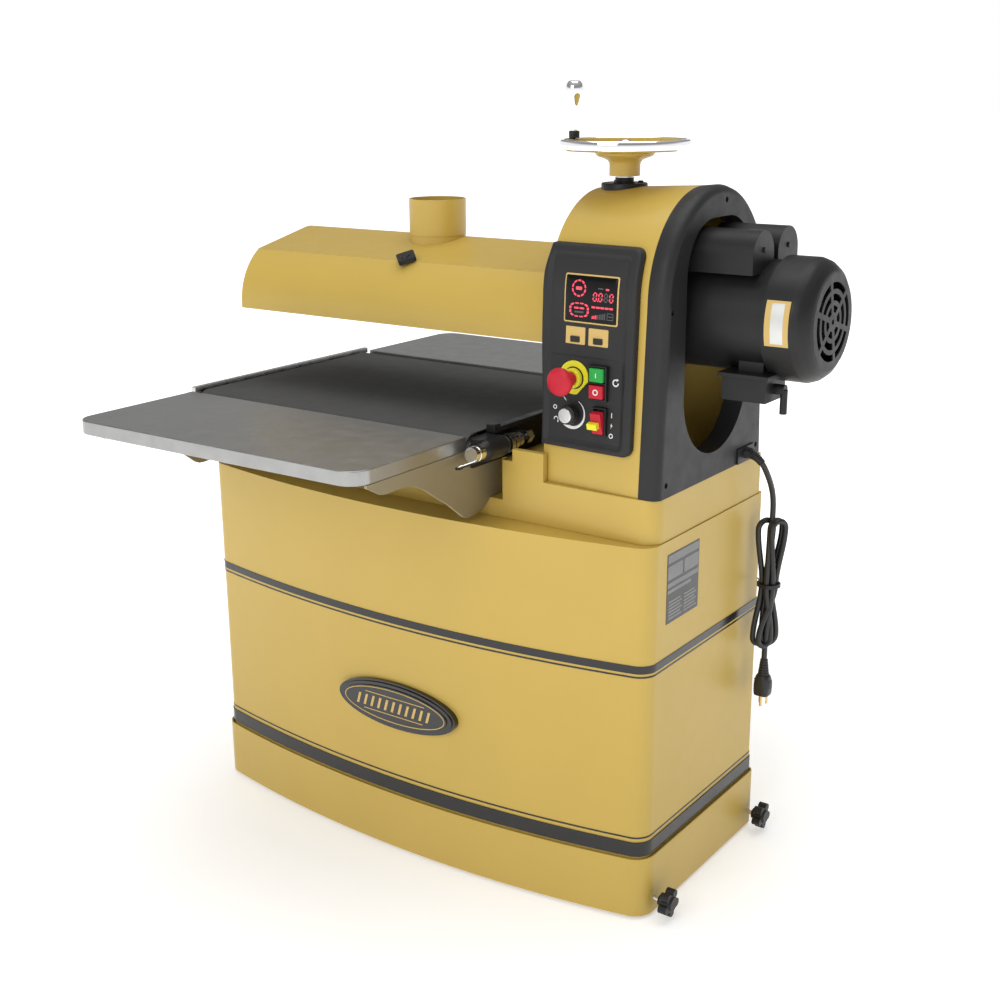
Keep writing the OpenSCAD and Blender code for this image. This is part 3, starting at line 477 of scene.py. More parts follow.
def make_cord():
    pts = cord_route()
    keep = [pts[0]]
    for p in pts[1:]:
        if (p - keep[-1]).length > 2.5:
            keep.append(p)
    curve = bpy.data.curves.new("mains_cord", "CURVE")
    curve.dimensions = "3D"
    curve.bevel_depth = 4.8 * MM
    curve.bevel_resolution = 5
    line = curve.splines.new("POLY")
    line.points.add(len(keep) - 1)
    for p, q in zip(line.points, keep):
        p.co = (*(q * MM), 1)
    curve.materials.append(RUBBER)
    o = bpy.data.objects.new("mains_cord", curve)
    bpy.context.scene.collection.objects.link(o)
    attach(o, "stand")
    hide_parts("cord_lead", "cord_hank", "cord_tail")
    # tie round the waist
    bm = bmesh.new()
    mid = hank_point(477, 0, 0)
    d, n = Vector((0.431, 0.902, 0)), Vector((0.902, -0.431, 0))
    loop = []
    for k in range(48):
        a = 2 * math.pi * k / 48
        ca, sa = math.cos(a), math.sin(a)
        f = (abs(ca) ** 2.6 + abs(sa) ** 2.6) ** (-1 / 2.6)
        loop.append((ca * f * 17.2, sa * f * 17.0))
    rings = []
    for off, dz in ((0, -3.5), (1.3, -3.2), (1.3, 3.2), (0, 3.5)):
        ring = []
        for s, m in loop:
            v = Vector((s, m, 0)).normalized()
            ring.append(bm.verts.new(mid + d * (s + v.x * off) + n * (m + v.y * off) + Vector((0, 0, dz))))
        rings.append(ring)
    rings.append(rings[0])
    for p, q in zip(rings, rings[1:]):
        for k in range(48):
            j = (k + 1) % 48
            bm.faces.new((p[k], p[j], q[j], q[k]))
    # twisted ends of the wire tie
    tip = mid - n * 18.5 - d * 3
    twist = []
    for k in range(25):
        t = k / 24
        a = 6 * math.pi * t
        around = (d * math.cos(a) + Vector((0, 0, 1)) * math.sin(a)) * 0.9
        twist.append(tip - n * (9 * t) + Vector((0, 0, 4 * t)) + around)
    tube(bm, twist, 0.8, 8)
    tie = finish_piece("cord_tie_strap", bm, "stand", PLASTIC, replaces=("cord_tie",), edge=0.3)
    # strain relief at the gland: ribbed, tapered, round the first bend of the lead
    bm = bmesh.new()
    ring_pts = pts[:12]
    run = 0
    for i, p in enumerate(ring_pts[:-1]):
        step = (ring_pts[i + 1] - p).length
        if run > 30:
            break
        t = run / 30
        axis_dir = (ring_pts[i + 1] - p).normalized()
        side = axis_dir.orthogonal().normalized()
        other = axis_dir.cross(side)
        r0 = 9.2 - 3.0 * t
        lathe(bm, [(5, -1.2), (r0 - 0.7, -1.2), (r0, -0.7), (r0, 0.7), (r0 - 0.7, 1.2), (5, 1.2)],
              (axis_dir, side, other), p + axis_dir * 1.2, n=32)
        run += step
    tube(bm, ring_pts[:11], 5.9, 24)
    relief = finish_piece("gland_relief", bm, "stand", RUBBER, edge=0.2)
    # plug: ribbed relief, moulded body, three pins
    bm = bmesh.new()
    prof = [(4.9, 343)]
    for k in range(6):
        z = 341.5 - 4.6 * k
        r = 6.4 + 0.55 * k
        prof += [(r, z), (r + 0.3, z - 1.0), (r + 0.3, z - 2.4), (r - 0.7, z - 2.9), (r - 0.7, z - 4.2)]
    prof += [(10.2, 313)]
    lathe(bm, prof, "Z", (490, 151, 0), n=48)
    levels = [(313.5, 10.6, 10.2, 2.2), (311, 12.2, 11.6, 2.4), (306, 13.6, 12.6, 2.6),
              (298, 14.4, 13.2, 3.0), (290, 14.2, 13.4, 3.6), (283, 13.6, 13.2, 4.2), (279, 13.2, 12.9, 4.4),
              (277, 12.4, 12.2, 4.4)]
    rings = []
    for z, a, b, p in levels:
        ring = []
        for k in range(48):
            t = 2 * math.pi * k / 48
            ca, sa = math.cos(t), math.sin(t)
            f = (abs(ca) ** p + abs(sa) ** p) ** (-1 / p)
            ring.append(bm.verts.new((490 + a * ca * f, 151 + b * sa * f, z)))
        rings.append(ring)
    for p, q in zip(rings, rings[1:]):
        for k in range(48):
            j = (k + 1) % 48
            bm.faces.new((p[k], p[j], q[j], q[k]))
    bm.faces.new(rings[0])
    bm.faces.new(rings[-1][::-1])
    for z in (303, 299, 295, 291):
        block(bm, 475.2, 476.6, 145, 157, z, z + 1.6)
        block(bm, 503.4, 504.8, 145, 157, z, z + 1.6)
    body = finish_piece("plug_body", bm, "stand", RUBBER, replaces=("plug",), edge=0.35)
    bm = bmesh.new()
    for s in (-1, 1):
        x = 490 + s * 6.5
        prism(bm, [(152.2, 278), (152.2, 260.5), (153.4, 259), (157.0, 259), (158.2, 260.5), (158.2, 278)],
              "X", x - 0.8, x + 0.8, place=facing_side)
    lathe(bm, [(2.4, 278), (2.4, 259), (1.9, 257), (0.9, 256.2), (0, 256)], "Z", (490, 145, 0), n=24)
    pins = finish_piece("plug_pins", bm, "stand", BRASS, edge=0.25)


make_cord()


# ---------------------------------------------------------------- stand, tables, conveyor
soften("cabinet", GOLD, 2.2, 3)
soften("cabinet_decals", FILM, 0.25, 1)
soften("skirt", GOLD, 1.2, 2)
soften("leveling_feet", BLACK, 0.8)
soften("base_casting", GOLD, 2.4, 3)
soften("head_housing", GOLD, 1.8, 3)
soften("side_cover", COVER, 2.0, 3)
soften("side_cover_screws", GLOSS, 0.3)
soften("lift_columns", BRIGHT, 0.8)
soften("conveyor_bed", BLACK, 0.8)
soften("side_rails", BLACK, 1.2, 2, zones=[(STEEL, lambda c: c.x < 0)])
soften("conveyor_belt", BELT, 0.5)
TABLE_FACE = 772.5  # faces above this height are the tables' brushed tops
for table in ("infeed_table", "outfeed_table"):
    soften(table, RIM, 3.0, 4, zones=[(BRUSHED, lambda c: c.z > TABLE_FACE)])
# the brackets' gold-brown tint is painted reflection and painted shade on steel
soften("table_brackets", BRACKET_PAINTED_REFLECTION, 0.8, 2)
soften("conveyor_gearmotor", MOTOR, 1.0)
soften("cord_gland", PLASTIC, 0.8)
soften("drive_roller", STEEL, 0.5)
soften("idle_roller", STEEL, 0.5)


def shiny_takeup(c):
    return c.x > 155 and (
        c.y < -237.5 and math.hypot(c.x - TAKEUP_X, c.z - TAKEUP_Z) < 13.2
        or -172.5 < c.y < -134.5 or -118.5 < c.y < -104.5)


soften("roller_bearings", PLASTIC, 0.8, 2, zones=[(BRIGHT, shiny_takeup)])

# ---------------------------------------------------------------- head
soften("drum_carriage", BLACK, 0.8)
soften("hood_shell", GOLD, 0.8, 2)
soften("hood_lid", GOLD, 0.8, 2)
soften("dust_port", GOLD, 0.7, 2)
soften("hood_latch", PLASTIC, 1.4, 3)
soften("end_support", GOLD_IN, 1.5, 2)
soften("motor_body", MOTOR, 1.5, 2)


def make_capacitor_covers():
    """Two D-shaped covers on the motor, flat underneath."""
    bm = bmesh.new()
    for s in (-1, 1):
        outline = [(s * 42 + 35 * turn(k, 48)[0], 1051 + 35 * turn(k, 48)[1]) for k in range(25)]
        outline += [(s * 42 - 35, 1024), (s * 42 + 35, 1024)]
        prism(bm, outline, "X", 436, 544, place=facing_side)
        lathe(bm, [(4, 543.5), (4, 546), (3.4, 546.6), (0, 546.8)], "X", (0, s * 42, 1058), n=24)
    finish_piece("capacitor_boxes", bm, "carriage", MOTOR, replaces=("capacitor_covers",), edge=2.2,
                 segments=3)


make_capacitor_covers()
soften("junction_box", MOTOR, 1.2, 2)
soften("fan_cover", MOTOR, 1.2, 2)


def make_nameplate():
    """A curved plate on the fan cover: a gold field, a silver field and a gold edge."""
    gold, silver = bmesh.new(), bmesh.new()
    for bm, x0, x1, r0, r1 in ((gold, 572, 609, 92.05, 92.5), (silver, 581.2, 601, 92.4, 92.75)):
        rings = []
        a0, a1 = math.radians(156.0), math.radians(197.5)
        if bm is silver:
            a0, a1 = math.radians(158.5), math.radians(195)
        for x, r in ((x0, r0), (x0 + 0.3, r1), (x1 - 0.3, r1), (x1, r0)):
            angles = [a0 + (a1 - a0) * k / 24 for k in range(25)]
            rings.append([bm.verts.new((x, r * math.cos(a), DRUM_Z + r * math.sin(a))) for a in angles])
        for p, q in zip(rings, rings[1:]):
            for k in range(24):
                bm.faces.new((p[k], p[k + 1], q[k + 1], q[k]))
        for k in range(24):
            bm.faces.new((rings[0][k], rings[0][k + 1], rings[3][k + 1], rings[3][k]))
        for k in (0, 24):
            bm.faces.new([r[k] for r in rings])
    finish_piece("rating_plate", gold, "carriage", GOLDFILM, replaces=("nameplate",), sharp=30)
    finish_piece("rating_plate_field", silver, "carriage", SILVER, sharp=30)


make_nameplate()

soften("drum", GRIT, 0.5, zones=[(STEEL, lambda c: math.hypot(c.y, c.z - DRUM_Z) < 45 or c.x > 155)])
for roller in ("front", "rear"):
    soften("pressure_roller_" + roller, ROLLER, 0.5, zones=[
        (STEEL, lambda c: math.hypot(abs(c.y) - ROLLER_Y, c.z - ROLLER_Z) < 6)])
for corner in ("front_right", "rear_right"):
    soften("knob_" + corner, PLASTIC, 1.6, 3, zones=[(BRIGHT, lambda c: abs(c.x) < 471)])


# ---------------------------------------------------------------- handwheel and crank
def make_flange():
    bm = bmesh.new()
    lathe(bm, [(10.2, 1122), (36, 1131), (36, 1140.4), (35.2, 1141.6), (33.4, 1142), (15.5, 1142),
               (15.5, 1143), (14.2, 1143.4), (14.2, 1144.6), (15.2, 1145), (15.2, 1146.2), (14.2, 1146.6),
               (14.2, 1147.8), (15.2, 1148.2), (15.2, 1149.3), (10.2, 1149.6)], "Z", (WHEEL_X, 0, 0), n=96,
               close=True)
    for k in range(3):
        a = math.radians(30 + 120 * k)
        lathe(bm, [(0, 1141), (4.2, 1141), (4.2, 1144.2), (3.4, 1145), (1.8, 1145), (1.8, 1143), (0, 1143)],
              "Z", (WHEEL_X + 25 * math.cos(a), 25 * math.sin(a), 0), n=24)
    finish_piece("screw_collar", bm, "stand", BLACK, replaces=("screw_flange",), sharp=35)


def make_wheel():
    c = (WHEEL_X, 0, 0)
    bm = bmesh.new()
    # chrome band with a rounded top and bottom
    band = [(94.2, 1192.4), (95.4, 1190.8), (99.0, 1190.8), (101.0, 1193.0), (101.75, 1197), (101.75, 1201),
            (101.0, 1205.2), (99.0, 1207.25), (95.6, 1207.25), (94.2, 1205.6)]
    lathe(bm, band, "Z", c, n=160, close=True)
    finish_piece("wheel_band", bm, "wheel", CHROME, replaces=("handwheel_rim",), edge=0.6, segments=3)
    bm = bmesh.new()
    web = [(14, 1152.2), (24, 1152.2), (24, 1168), (24.6, 1172), (27, 1175.5), (33, 1178.5), (41, 1181),
           (45, 1183.5), (46.5, 1187), (52, 1189.5), (62, 1190.8), (76, 1191.6), (88, 1192),
           (93.9, 1192.6), (93.9, 1205.2), (92.6, 1206.2), (90.6, 1205.4), (88.5, 1200), (84, 1197.4),
           (66, 1195.2), (50, 1193.6), (44, 1192), (38, 1190.4), (26, 1190), (22, 1191), (20, 1194),
           (19, 1196.5), (14, 1197), (10.2, 1197)]
    lathe(bm, web, "Z", c, n=160)
    finish_piece("wheel_casting", bm, "wheel", GOLD, replaces=("handwheel",), edge=0.5)
    bm = bmesh.new()
    # lift screw with its thread, washer and the nut on top
    prof = [(0, 974), (8.6, 974)]
    z = 976.0
    while z < 1102:
        prof += [(8.6, z), (9.9, z + 1), (9.9, z + 2), (8.6, z + 3)]
        z += 4
    prof += [(10, 1104), (10, 1198.5), (7, 1199.5), (0, 1199.5)]
    lathe(bm, prof, "Z", c, n=40)
    lathe(bm, [(10, 1150), (14, 1150), (14, 1152), (10, 1152)], "Z", c, n=48)
    finish_piece("lift_screw", bm, "wheel", STEEL, sharp=30)
    bm = bmesh.new()
    hexa = [(WHEEL_X + 13 * turn(k, 6)[0], 13 * turn(k, 6)[1]) for k in range(6)]
    prism(bm, hexa, "Z", 1197, 1203.5, place=lambda p, q, h: Vector((p, q, h)))
    lathe(bm, [(10, 1203.4), (10, 1204.5), (6, 1207), (0, 1207.4)], "Z", c, n=32)
    finish_piece("wheel_nut", bm, "wheel", BRIGHT, edge=0.8)


def make_crank():
    c = (CRANK_X, 0, 0)
    bm = bmesh.new()
    lathe(bm, [(0, 1207.4), (8.2, 1207.4), (8.5, 1207.8), (8.5, 1217.6), (8.1, 1218), (0, 1218)], "Z", c,
          n=48)
    finish_piece("crank_collar", bm, "crank", PLASTIC, edge=0.4, replaces=("crank_handle",))
    bm = bmesh.new()
    prof = smooth_profile([(0.01, 1218), (5.6, 1218.1), (6.3, 1219.2), (6.4, 1223), (6.6, 1235), (7.2, 1245),
                           (8.4, 1257), (10.5, 1266), (13.0, 1274), (13.7, 1280), (13.0, 1286), (10.7, 1291),
                           (8.2, 1293.2), (4, 1294), (0.01, 1294)], 5)
    lathe(bm, prof, "Z", c, n=64)
    finish_piece("crank_grip", bm, "crank", CHROME, sharp=50)


make_flange()
make_wheel()
make_crank()


# ---------------------------------------------------------------- badge and side label
def make_badges():
    soften("oval_badge", GLOSS, 1.6, 3)
    bm = bmesh.new()
    tube(bm, [(x, -252.6, z) for x, z in oval(0, 277, 107.5, 29, 144)], 0.9, 8, closed=True)
    # a row of slanted strokes between two thin rules
    for k in range(11):
        x0 = -79 + 15 * k
        prism(bm, [(x0 - 3, 267), (x0 + 2, 267), (x0 + 8, 287), (x0 + 3, 287)], "Y", -253.1, -252,
              place=facing_front)
    for x0, x1, z0, z1 in ((-62, 66, 292.4, 293.8), (-66, 62, 260.4, 261.8)):
        prism(bm, rrect(x0, x1, z0, z1, 0.6), "Y", -253.1, -252, place=facing_front)
    finish_piece("badge_motif", bm, "stand", GOLDFILM, edge=0.2)
    bm = bmesh.new()

    for y0, y1, z0, z1 in ((-139, -40, 589, 601.5), (-139, -92, 562, 584), (-87, -40, 562, 584),
                           (-139, -40, 549.5, 557), (-139, -64, 540, 545.5)):
        prism(bm, rrect(y0, y1, z0, z1, 1.2), "X", 455.5, 455.8, place=facing_side)
    for k in range(6):
        prism(bm, rrect(-135, -92 if k % 2 else -97, 524 - 5.4 * k, 527 - 5.4 * k, 0.8), "X", 455.5, 455.8,
              place=facing_side)
        prism(bm, rrect(-86, -44 if k % 2 else -50, 524 - 5.4 * k, 527 - 5.4 * k, 0.8), "X", 455.5, 455.8,
              place=facing_side)
    finish_piece("side_label_blocks", bm, "stand", GREY, edge=0.05)


make_badges()


# ---------------------------------------------------------------- control panel
def ease(lo, hi, v):
    t = min(1, max(0, (v - lo) / (hi - lo)))
    return t * t * (3 - 2 * t)


PL, PR, PB, PT = 246.0, 409.0, 756.0, 1062.0


def left_edge(z):
    """The moulding is widest at mid height."""
    return PL - 5 * ease(790, 950, z) * (1 - ease(1015, 1062, z))


def panel_y(x, z):
    """Depth of the panel's front over its curved housing."""
    grow = 164.95 + 8.5 * (x - 245) / 173
    if z >= 982:
        return -math.sqrt(max(grow ** 2 - (z - 982) ** 2, 1))
    return -(grow + 10 * (982 - z) / 220)


def box_dist(x, z, x0, x1, z0, z1, r):
    """How far (x, z) lies inside a rounded rectangle; negative outside."""
    qx, qz = max(x0 + r - x, x - x1 + r), max(z0 + r - z, z - z1 + r)
    if qx > 0 and qz > 0:
        return r - math.hypot(qx, qz)
    return r - max(qx, qz)


def panel_relief(x, z, rim):
    """Outward height of the moulding: rim, sloped shoulder, recessed face, lower field and grooves."""
    d = rim
    h = -5 + math.sqrt(max(0, 25 - (5 - min(d, 5)) ** 2))
    inner = box_dist(x, z, 256, 390, 769, 1046, 5)
    h -= 2.4 * ease(-6, 0, inner)
    low = box_dist(x, z, 259, 388, 772, 897, 3)
    h -= 0.9 * ease(-3.0, 0, low)
    groove = min(abs(inner - 2.2), 9)
    h -= 0.5 * (1 - ease(0, 1.2, groove)) * (1 if z > 899 else 0)
    if 335 < x < 364 and 838.5 < z < 888:  # room behind the start and stop buttons
        h -= 3.5
    return h


def make_panel():
    bm = bmesh.new()
    nx, nz = 150, 250
    grid = []
    for j in range(nz + 1):
        z = PB + (PT - PB) * j / nz
        # the row's ends follow the rounded corners
        lz = left_edge(z)
        x0, x1 = lz, PR
        for zc, toward in ((PB, 1), (PT, -1)):
            for r, leftside in ((3.0, True), (16.0, False)):
                d = r - toward * (z - zc)
                if d > 0:
                    cut = r - math.sqrt(max(0, r * r - d * d))
                    if leftside:
                        x0 = max(x0, lz + cut)
                    else:
                        x1 = min(x1, PR - cut)
        row = []
        for i in range(nx + 1):
            x = x0 + (x1 - x0) * i / nx
            left = min(x - lz, z - PB, PT - z)
            right = box_dist(x, z, PL - 40, PR, PB, PT, 16)
            rim = max(0, min(left, right))
            row.append(bm.verts.new((x, panel_y(x, z) - panel_relief(x, z, rim), z)))
        grid.append(row)
    for a, b in zip(grid, grid[1:]):
        for i in range(nx):
            bm.faces.new((a[i], a[i + 1], b[i + 1], b[i]))
    edge = [grid[0][i] for i in range(nx + 1)] + [grid[j][nx] for j in range(1, nz + 1)]
    edge += [grid[nz][i] for i in range(nx - 1, -1, -1)] + [grid[j][0] for j in range(nz - 1, 0, -1)]
    back = [bm.verts.new((v.co.x, v.co.y + 9.5, v.co.z)) for v in edge]
    for k in range(len(edge)):
        j = (k + 1) % len(edge)
        bm.faces.new((edge[k], back[k], back[j], edge[j]))
    finish_piece("panel_moulding", bm, "stand", PANEL, replaces=("control_panel",), sharp=60)


make_panel()


def surf(x, z, out=0.0):
    """The y of a point that stands out mm proud of the panel's recessed face."""
    return panel_y(x, z) + 2.4 + (0.9 if z < 897 else 0) - out


def on_panel(bm, outline, out, thick=1.2, mat=0):
    def place(p, q, h):
        return Vector((p, surf(p, q, out) + (0 if h else thick), q))

    prism(bm, outline, "Y", 0, 1, mat, place=place)


def patch(bm, outline, out, depth, mat=0):
    """A curved plate that follows the panel: a grid inside a rounded outline, out mm proud of the face."""
    xs, zs = [p[0] for p in outline], [p[1] for p in outline]
    cx, cz = (min(xs) + max(xs)) / 2, (min(zs) + max(zs)) / 2
    rings = []
    for t in (1.0, 0.985, 0.8, 0.6, 0.4, 0.2):
        lift = out - (0.35 if t == 1.0 else 0)
        scaled = [(cx + (x - cx) * t, cz + (z - cz) * t) for x, z in outline]
        rings.append([bm.verts.new((x, surf(x, z, lift), z)) for x, z in scaled])
    base = [bm.verts.new((x, surf(x, z, out) + depth, z)) for x, z in outline]
    middle = bm.verts.new((cx, surf(cx, cz, out), cz))
    n = len(outline)
    for p, q in zip([base] + rings, rings):
        for k in range(n):
            j = (k + 1) % n
            bm.faces.new((p[k], p[j], q[j], q[k])).material_index = mat
    for k in range(n):
        bm.faces.new((rings[-1][k], rings[-1][(k + 1) % n], middle)).material_index = mat


def divided(outline, step=4.0):
    """The outline with its long sides cut into short ones."""
    out = []
    for (x0, z0), (x1, z1) in zip(outline, outline[1:] + outline[:1]):
        n = max(1, round(math.hypot(x1 - x0, z1 - z0) / step))
        out += [(x0 + (x1 - x0) * k / n, z0 + (z1 - z0) * k / n) for k in range(n)]
    return out


def make_display():
    bm = bmesh.new()
    patch(bm, divided(rrect(282, 378, 948.5, 1020.5, 3.4)), 0.9, 3)
    for x in (304, 345):
        patch(bm, divided(rrect(x - 17.5, x + 17.5, 916.5, 942.5, 1.6)), 0.8, 2.4)
    finish_piece("display_surround", bm, "stand", GOLDFILM, replaces=("display_frame",))
    bm = bmesh.new()
    patch(bm, divided(rrect(284.3, 375.7, 950.8, 1018.2, 1.8)), 1.5, 3)
    finish_piece("display_window", bm, "stand", SCREEN, replaces=("display_glass",))
    for name, x, body in (("left", 304, "left_key"), ("right", 345, "right_key")):
        bm = bmesh.new()
        y = surf(x, 924, 0.8)
        prism(bm, rrect(x - 8, x + 8, 919.5, 928.5, 1), "Y", y - 2.0, y + 3, place=facing_front)
        finish_piece("key_cap_" + name, bm, body, PLASTIC, replaces=("key_" + name,), edge=0.7, segments=3)


def spot(u, v):
    """Display position: u to the right and v down, each from 0 to 1."""
    return 285.7 + 88.6 * u, 1016.8 - 64.6 * v


def make_leds():
    lit, unlit = bmesh.new(), bmesh.new()

    def put(bm, outline):
        prism(bm, outline, "Y", 0, 1, place=lambda p, q, h: Vector((p, surf(p, q, 1.75 if h else 1.3), q)))

    # segmented round ring
    cx, cz = spot(0.255, 0.265)
    for k in range(10):
        put(lit, arc_band(cx, cz, 10.2, 12.6, 36 * k + 4, 36 * k + 31, 6))
    put(lit, rrect(cx - 5.5, cx + 5.5, cz - 2.4, cz + 2.4, 1.6))
    # segmented rounded-rectangle ring
    cx, cz = spot(0.27, 0.755)
    for k in range(12):
        a0, a1 = 30 * k + 3, 30 * k + 25
        pts = []
        for r in (1.0, 0.80):
            seg = []
            for i in range(7):
                a = math.radians(a0 + (a1 - a0) * i / 6)
                ca, sa = math.cos(a), math.sin(a)
                f = (abs(ca) ** 3 + abs(sa) ** 3) ** (-1 / 3)
                flat = 1 if r == 1 else 0.93
                seg.append((cx + 17.6 * r * ca * f, cz + (10.6 - (1 - r) * 6) * sa * f * flat))
            pts += seg if r == 1.0 else seg[::-1]
        put(lit, pts)
    for x0, x1, z in ((-9, -1, 2.6), (1, 9, 2.6), (-8, 8, -3.2)):
        put(lit if z > 0 else unlit, rrect(cx + x0, cx + x1, cz + z - 1.3, cz + z + 1.3, 0.6))

    def digit(x, z, w, h, on, tilt=0.08):
        t = 1.9
        parts = {
            "a": (0.12, 1, 0.88, 1), "d": (0.12, 0, 0.88, 0), "g": (0.14, 0.5, 0.86, 0.5),
            "f": (0, 0.55, 0, 0.95), "b": (1, 0.55, 1, 0.95), "e": (0, 0.05, 0, 0.45),
            "c": (1, 0.05, 1, 0.45)}
        for key, (u0, v0, u1, v1) in parts.items():
            bm = lit if key in on else unlit
            if v0 == v1:
                x0, x1, zz = x + w * u0, x + w * u1, z + h * v0
                s = tilt * h * v0
                out = [(x0 + s, zz), (x0 + s + t / 2, zz + t / 2), (x1 + s - t / 2, zz + t / 2), (x1 + s, zz),
                       (x1 + s - t / 2, zz - t / 2), (x0 + s + t / 2, zz - t / 2)]
            else:
                xx, z0, z1 = x + w * u0, z + h * v0, z + h * v1
                s0, s1 = tilt * h * v0, tilt * h * v1
                out = [(xx + s0, z0), (xx + s0 + t / 2, z0 + t / 2), (xx + s1 + t / 2, z1 - t / 2),
                       (xx + s1, z1), (xx + s1 - t / 2, z1 - t / 2), (xx + s0 - t / 2, z0 + t / 2)]
            put(bm, out)

    x, z = spot(0.545, 0.52)
    for k, on in enumerate(("abcdef", "abcdef", "", "abcdef")):
        digit(x + 9.6 * k, z, 5.6, 11.6, on)
    put(lit, rrect(x + 7.2, x + 8.9, z - 0.8, z + 0.9, 0.4))
    x0, z0 = spot(0.64, 0.235)
    put(unlit, rrect(x0, x0 + 9, z0 - 0.9, z0 + 0.9, 0.4))
    x0, z0 = spot(0.79, 0.245)
    put(lit, rrect(x0, x0 + 6, z0 - 1.3, z0 + 1.3, 0.5))
    x0, z0 = spot(0.52, 0.665)
    for k in range(5):
        put(lit, rrect(x0 + 7.8 * k, x0 + 7.8 * k + 6.6, z0 - 1.4, z0 + 1.4, 0.5))
    x0, z0 = spot(0.53, 0.93)
    for k in range(8):
        put(lit if k < 3 else unlit, rrect(x0 + 3.1 * k, x0 + 3.1 * k + 2, z0, z0 + 4.2 + 0.75 * k, 0.3))
    x1 = x0 + 26.5
    for a, b, c, d in ((0, 11.5, 0, 1.3), (0, 11.5, 9.4, 10.7), (0, 1.3, 0, 10.7), (10.2, 11.5, 0, 10.7),
                       (2.5, 9, 4.6, 6)):
        put(unlit, rrect(x1 + a, x1 + b, z0 + c, z0 + d, 0.3))
    finish_piece("display_lit", lit, "stand", LED)
    finish_piece("display_unlit", unlit, "stand", LED_OFF)


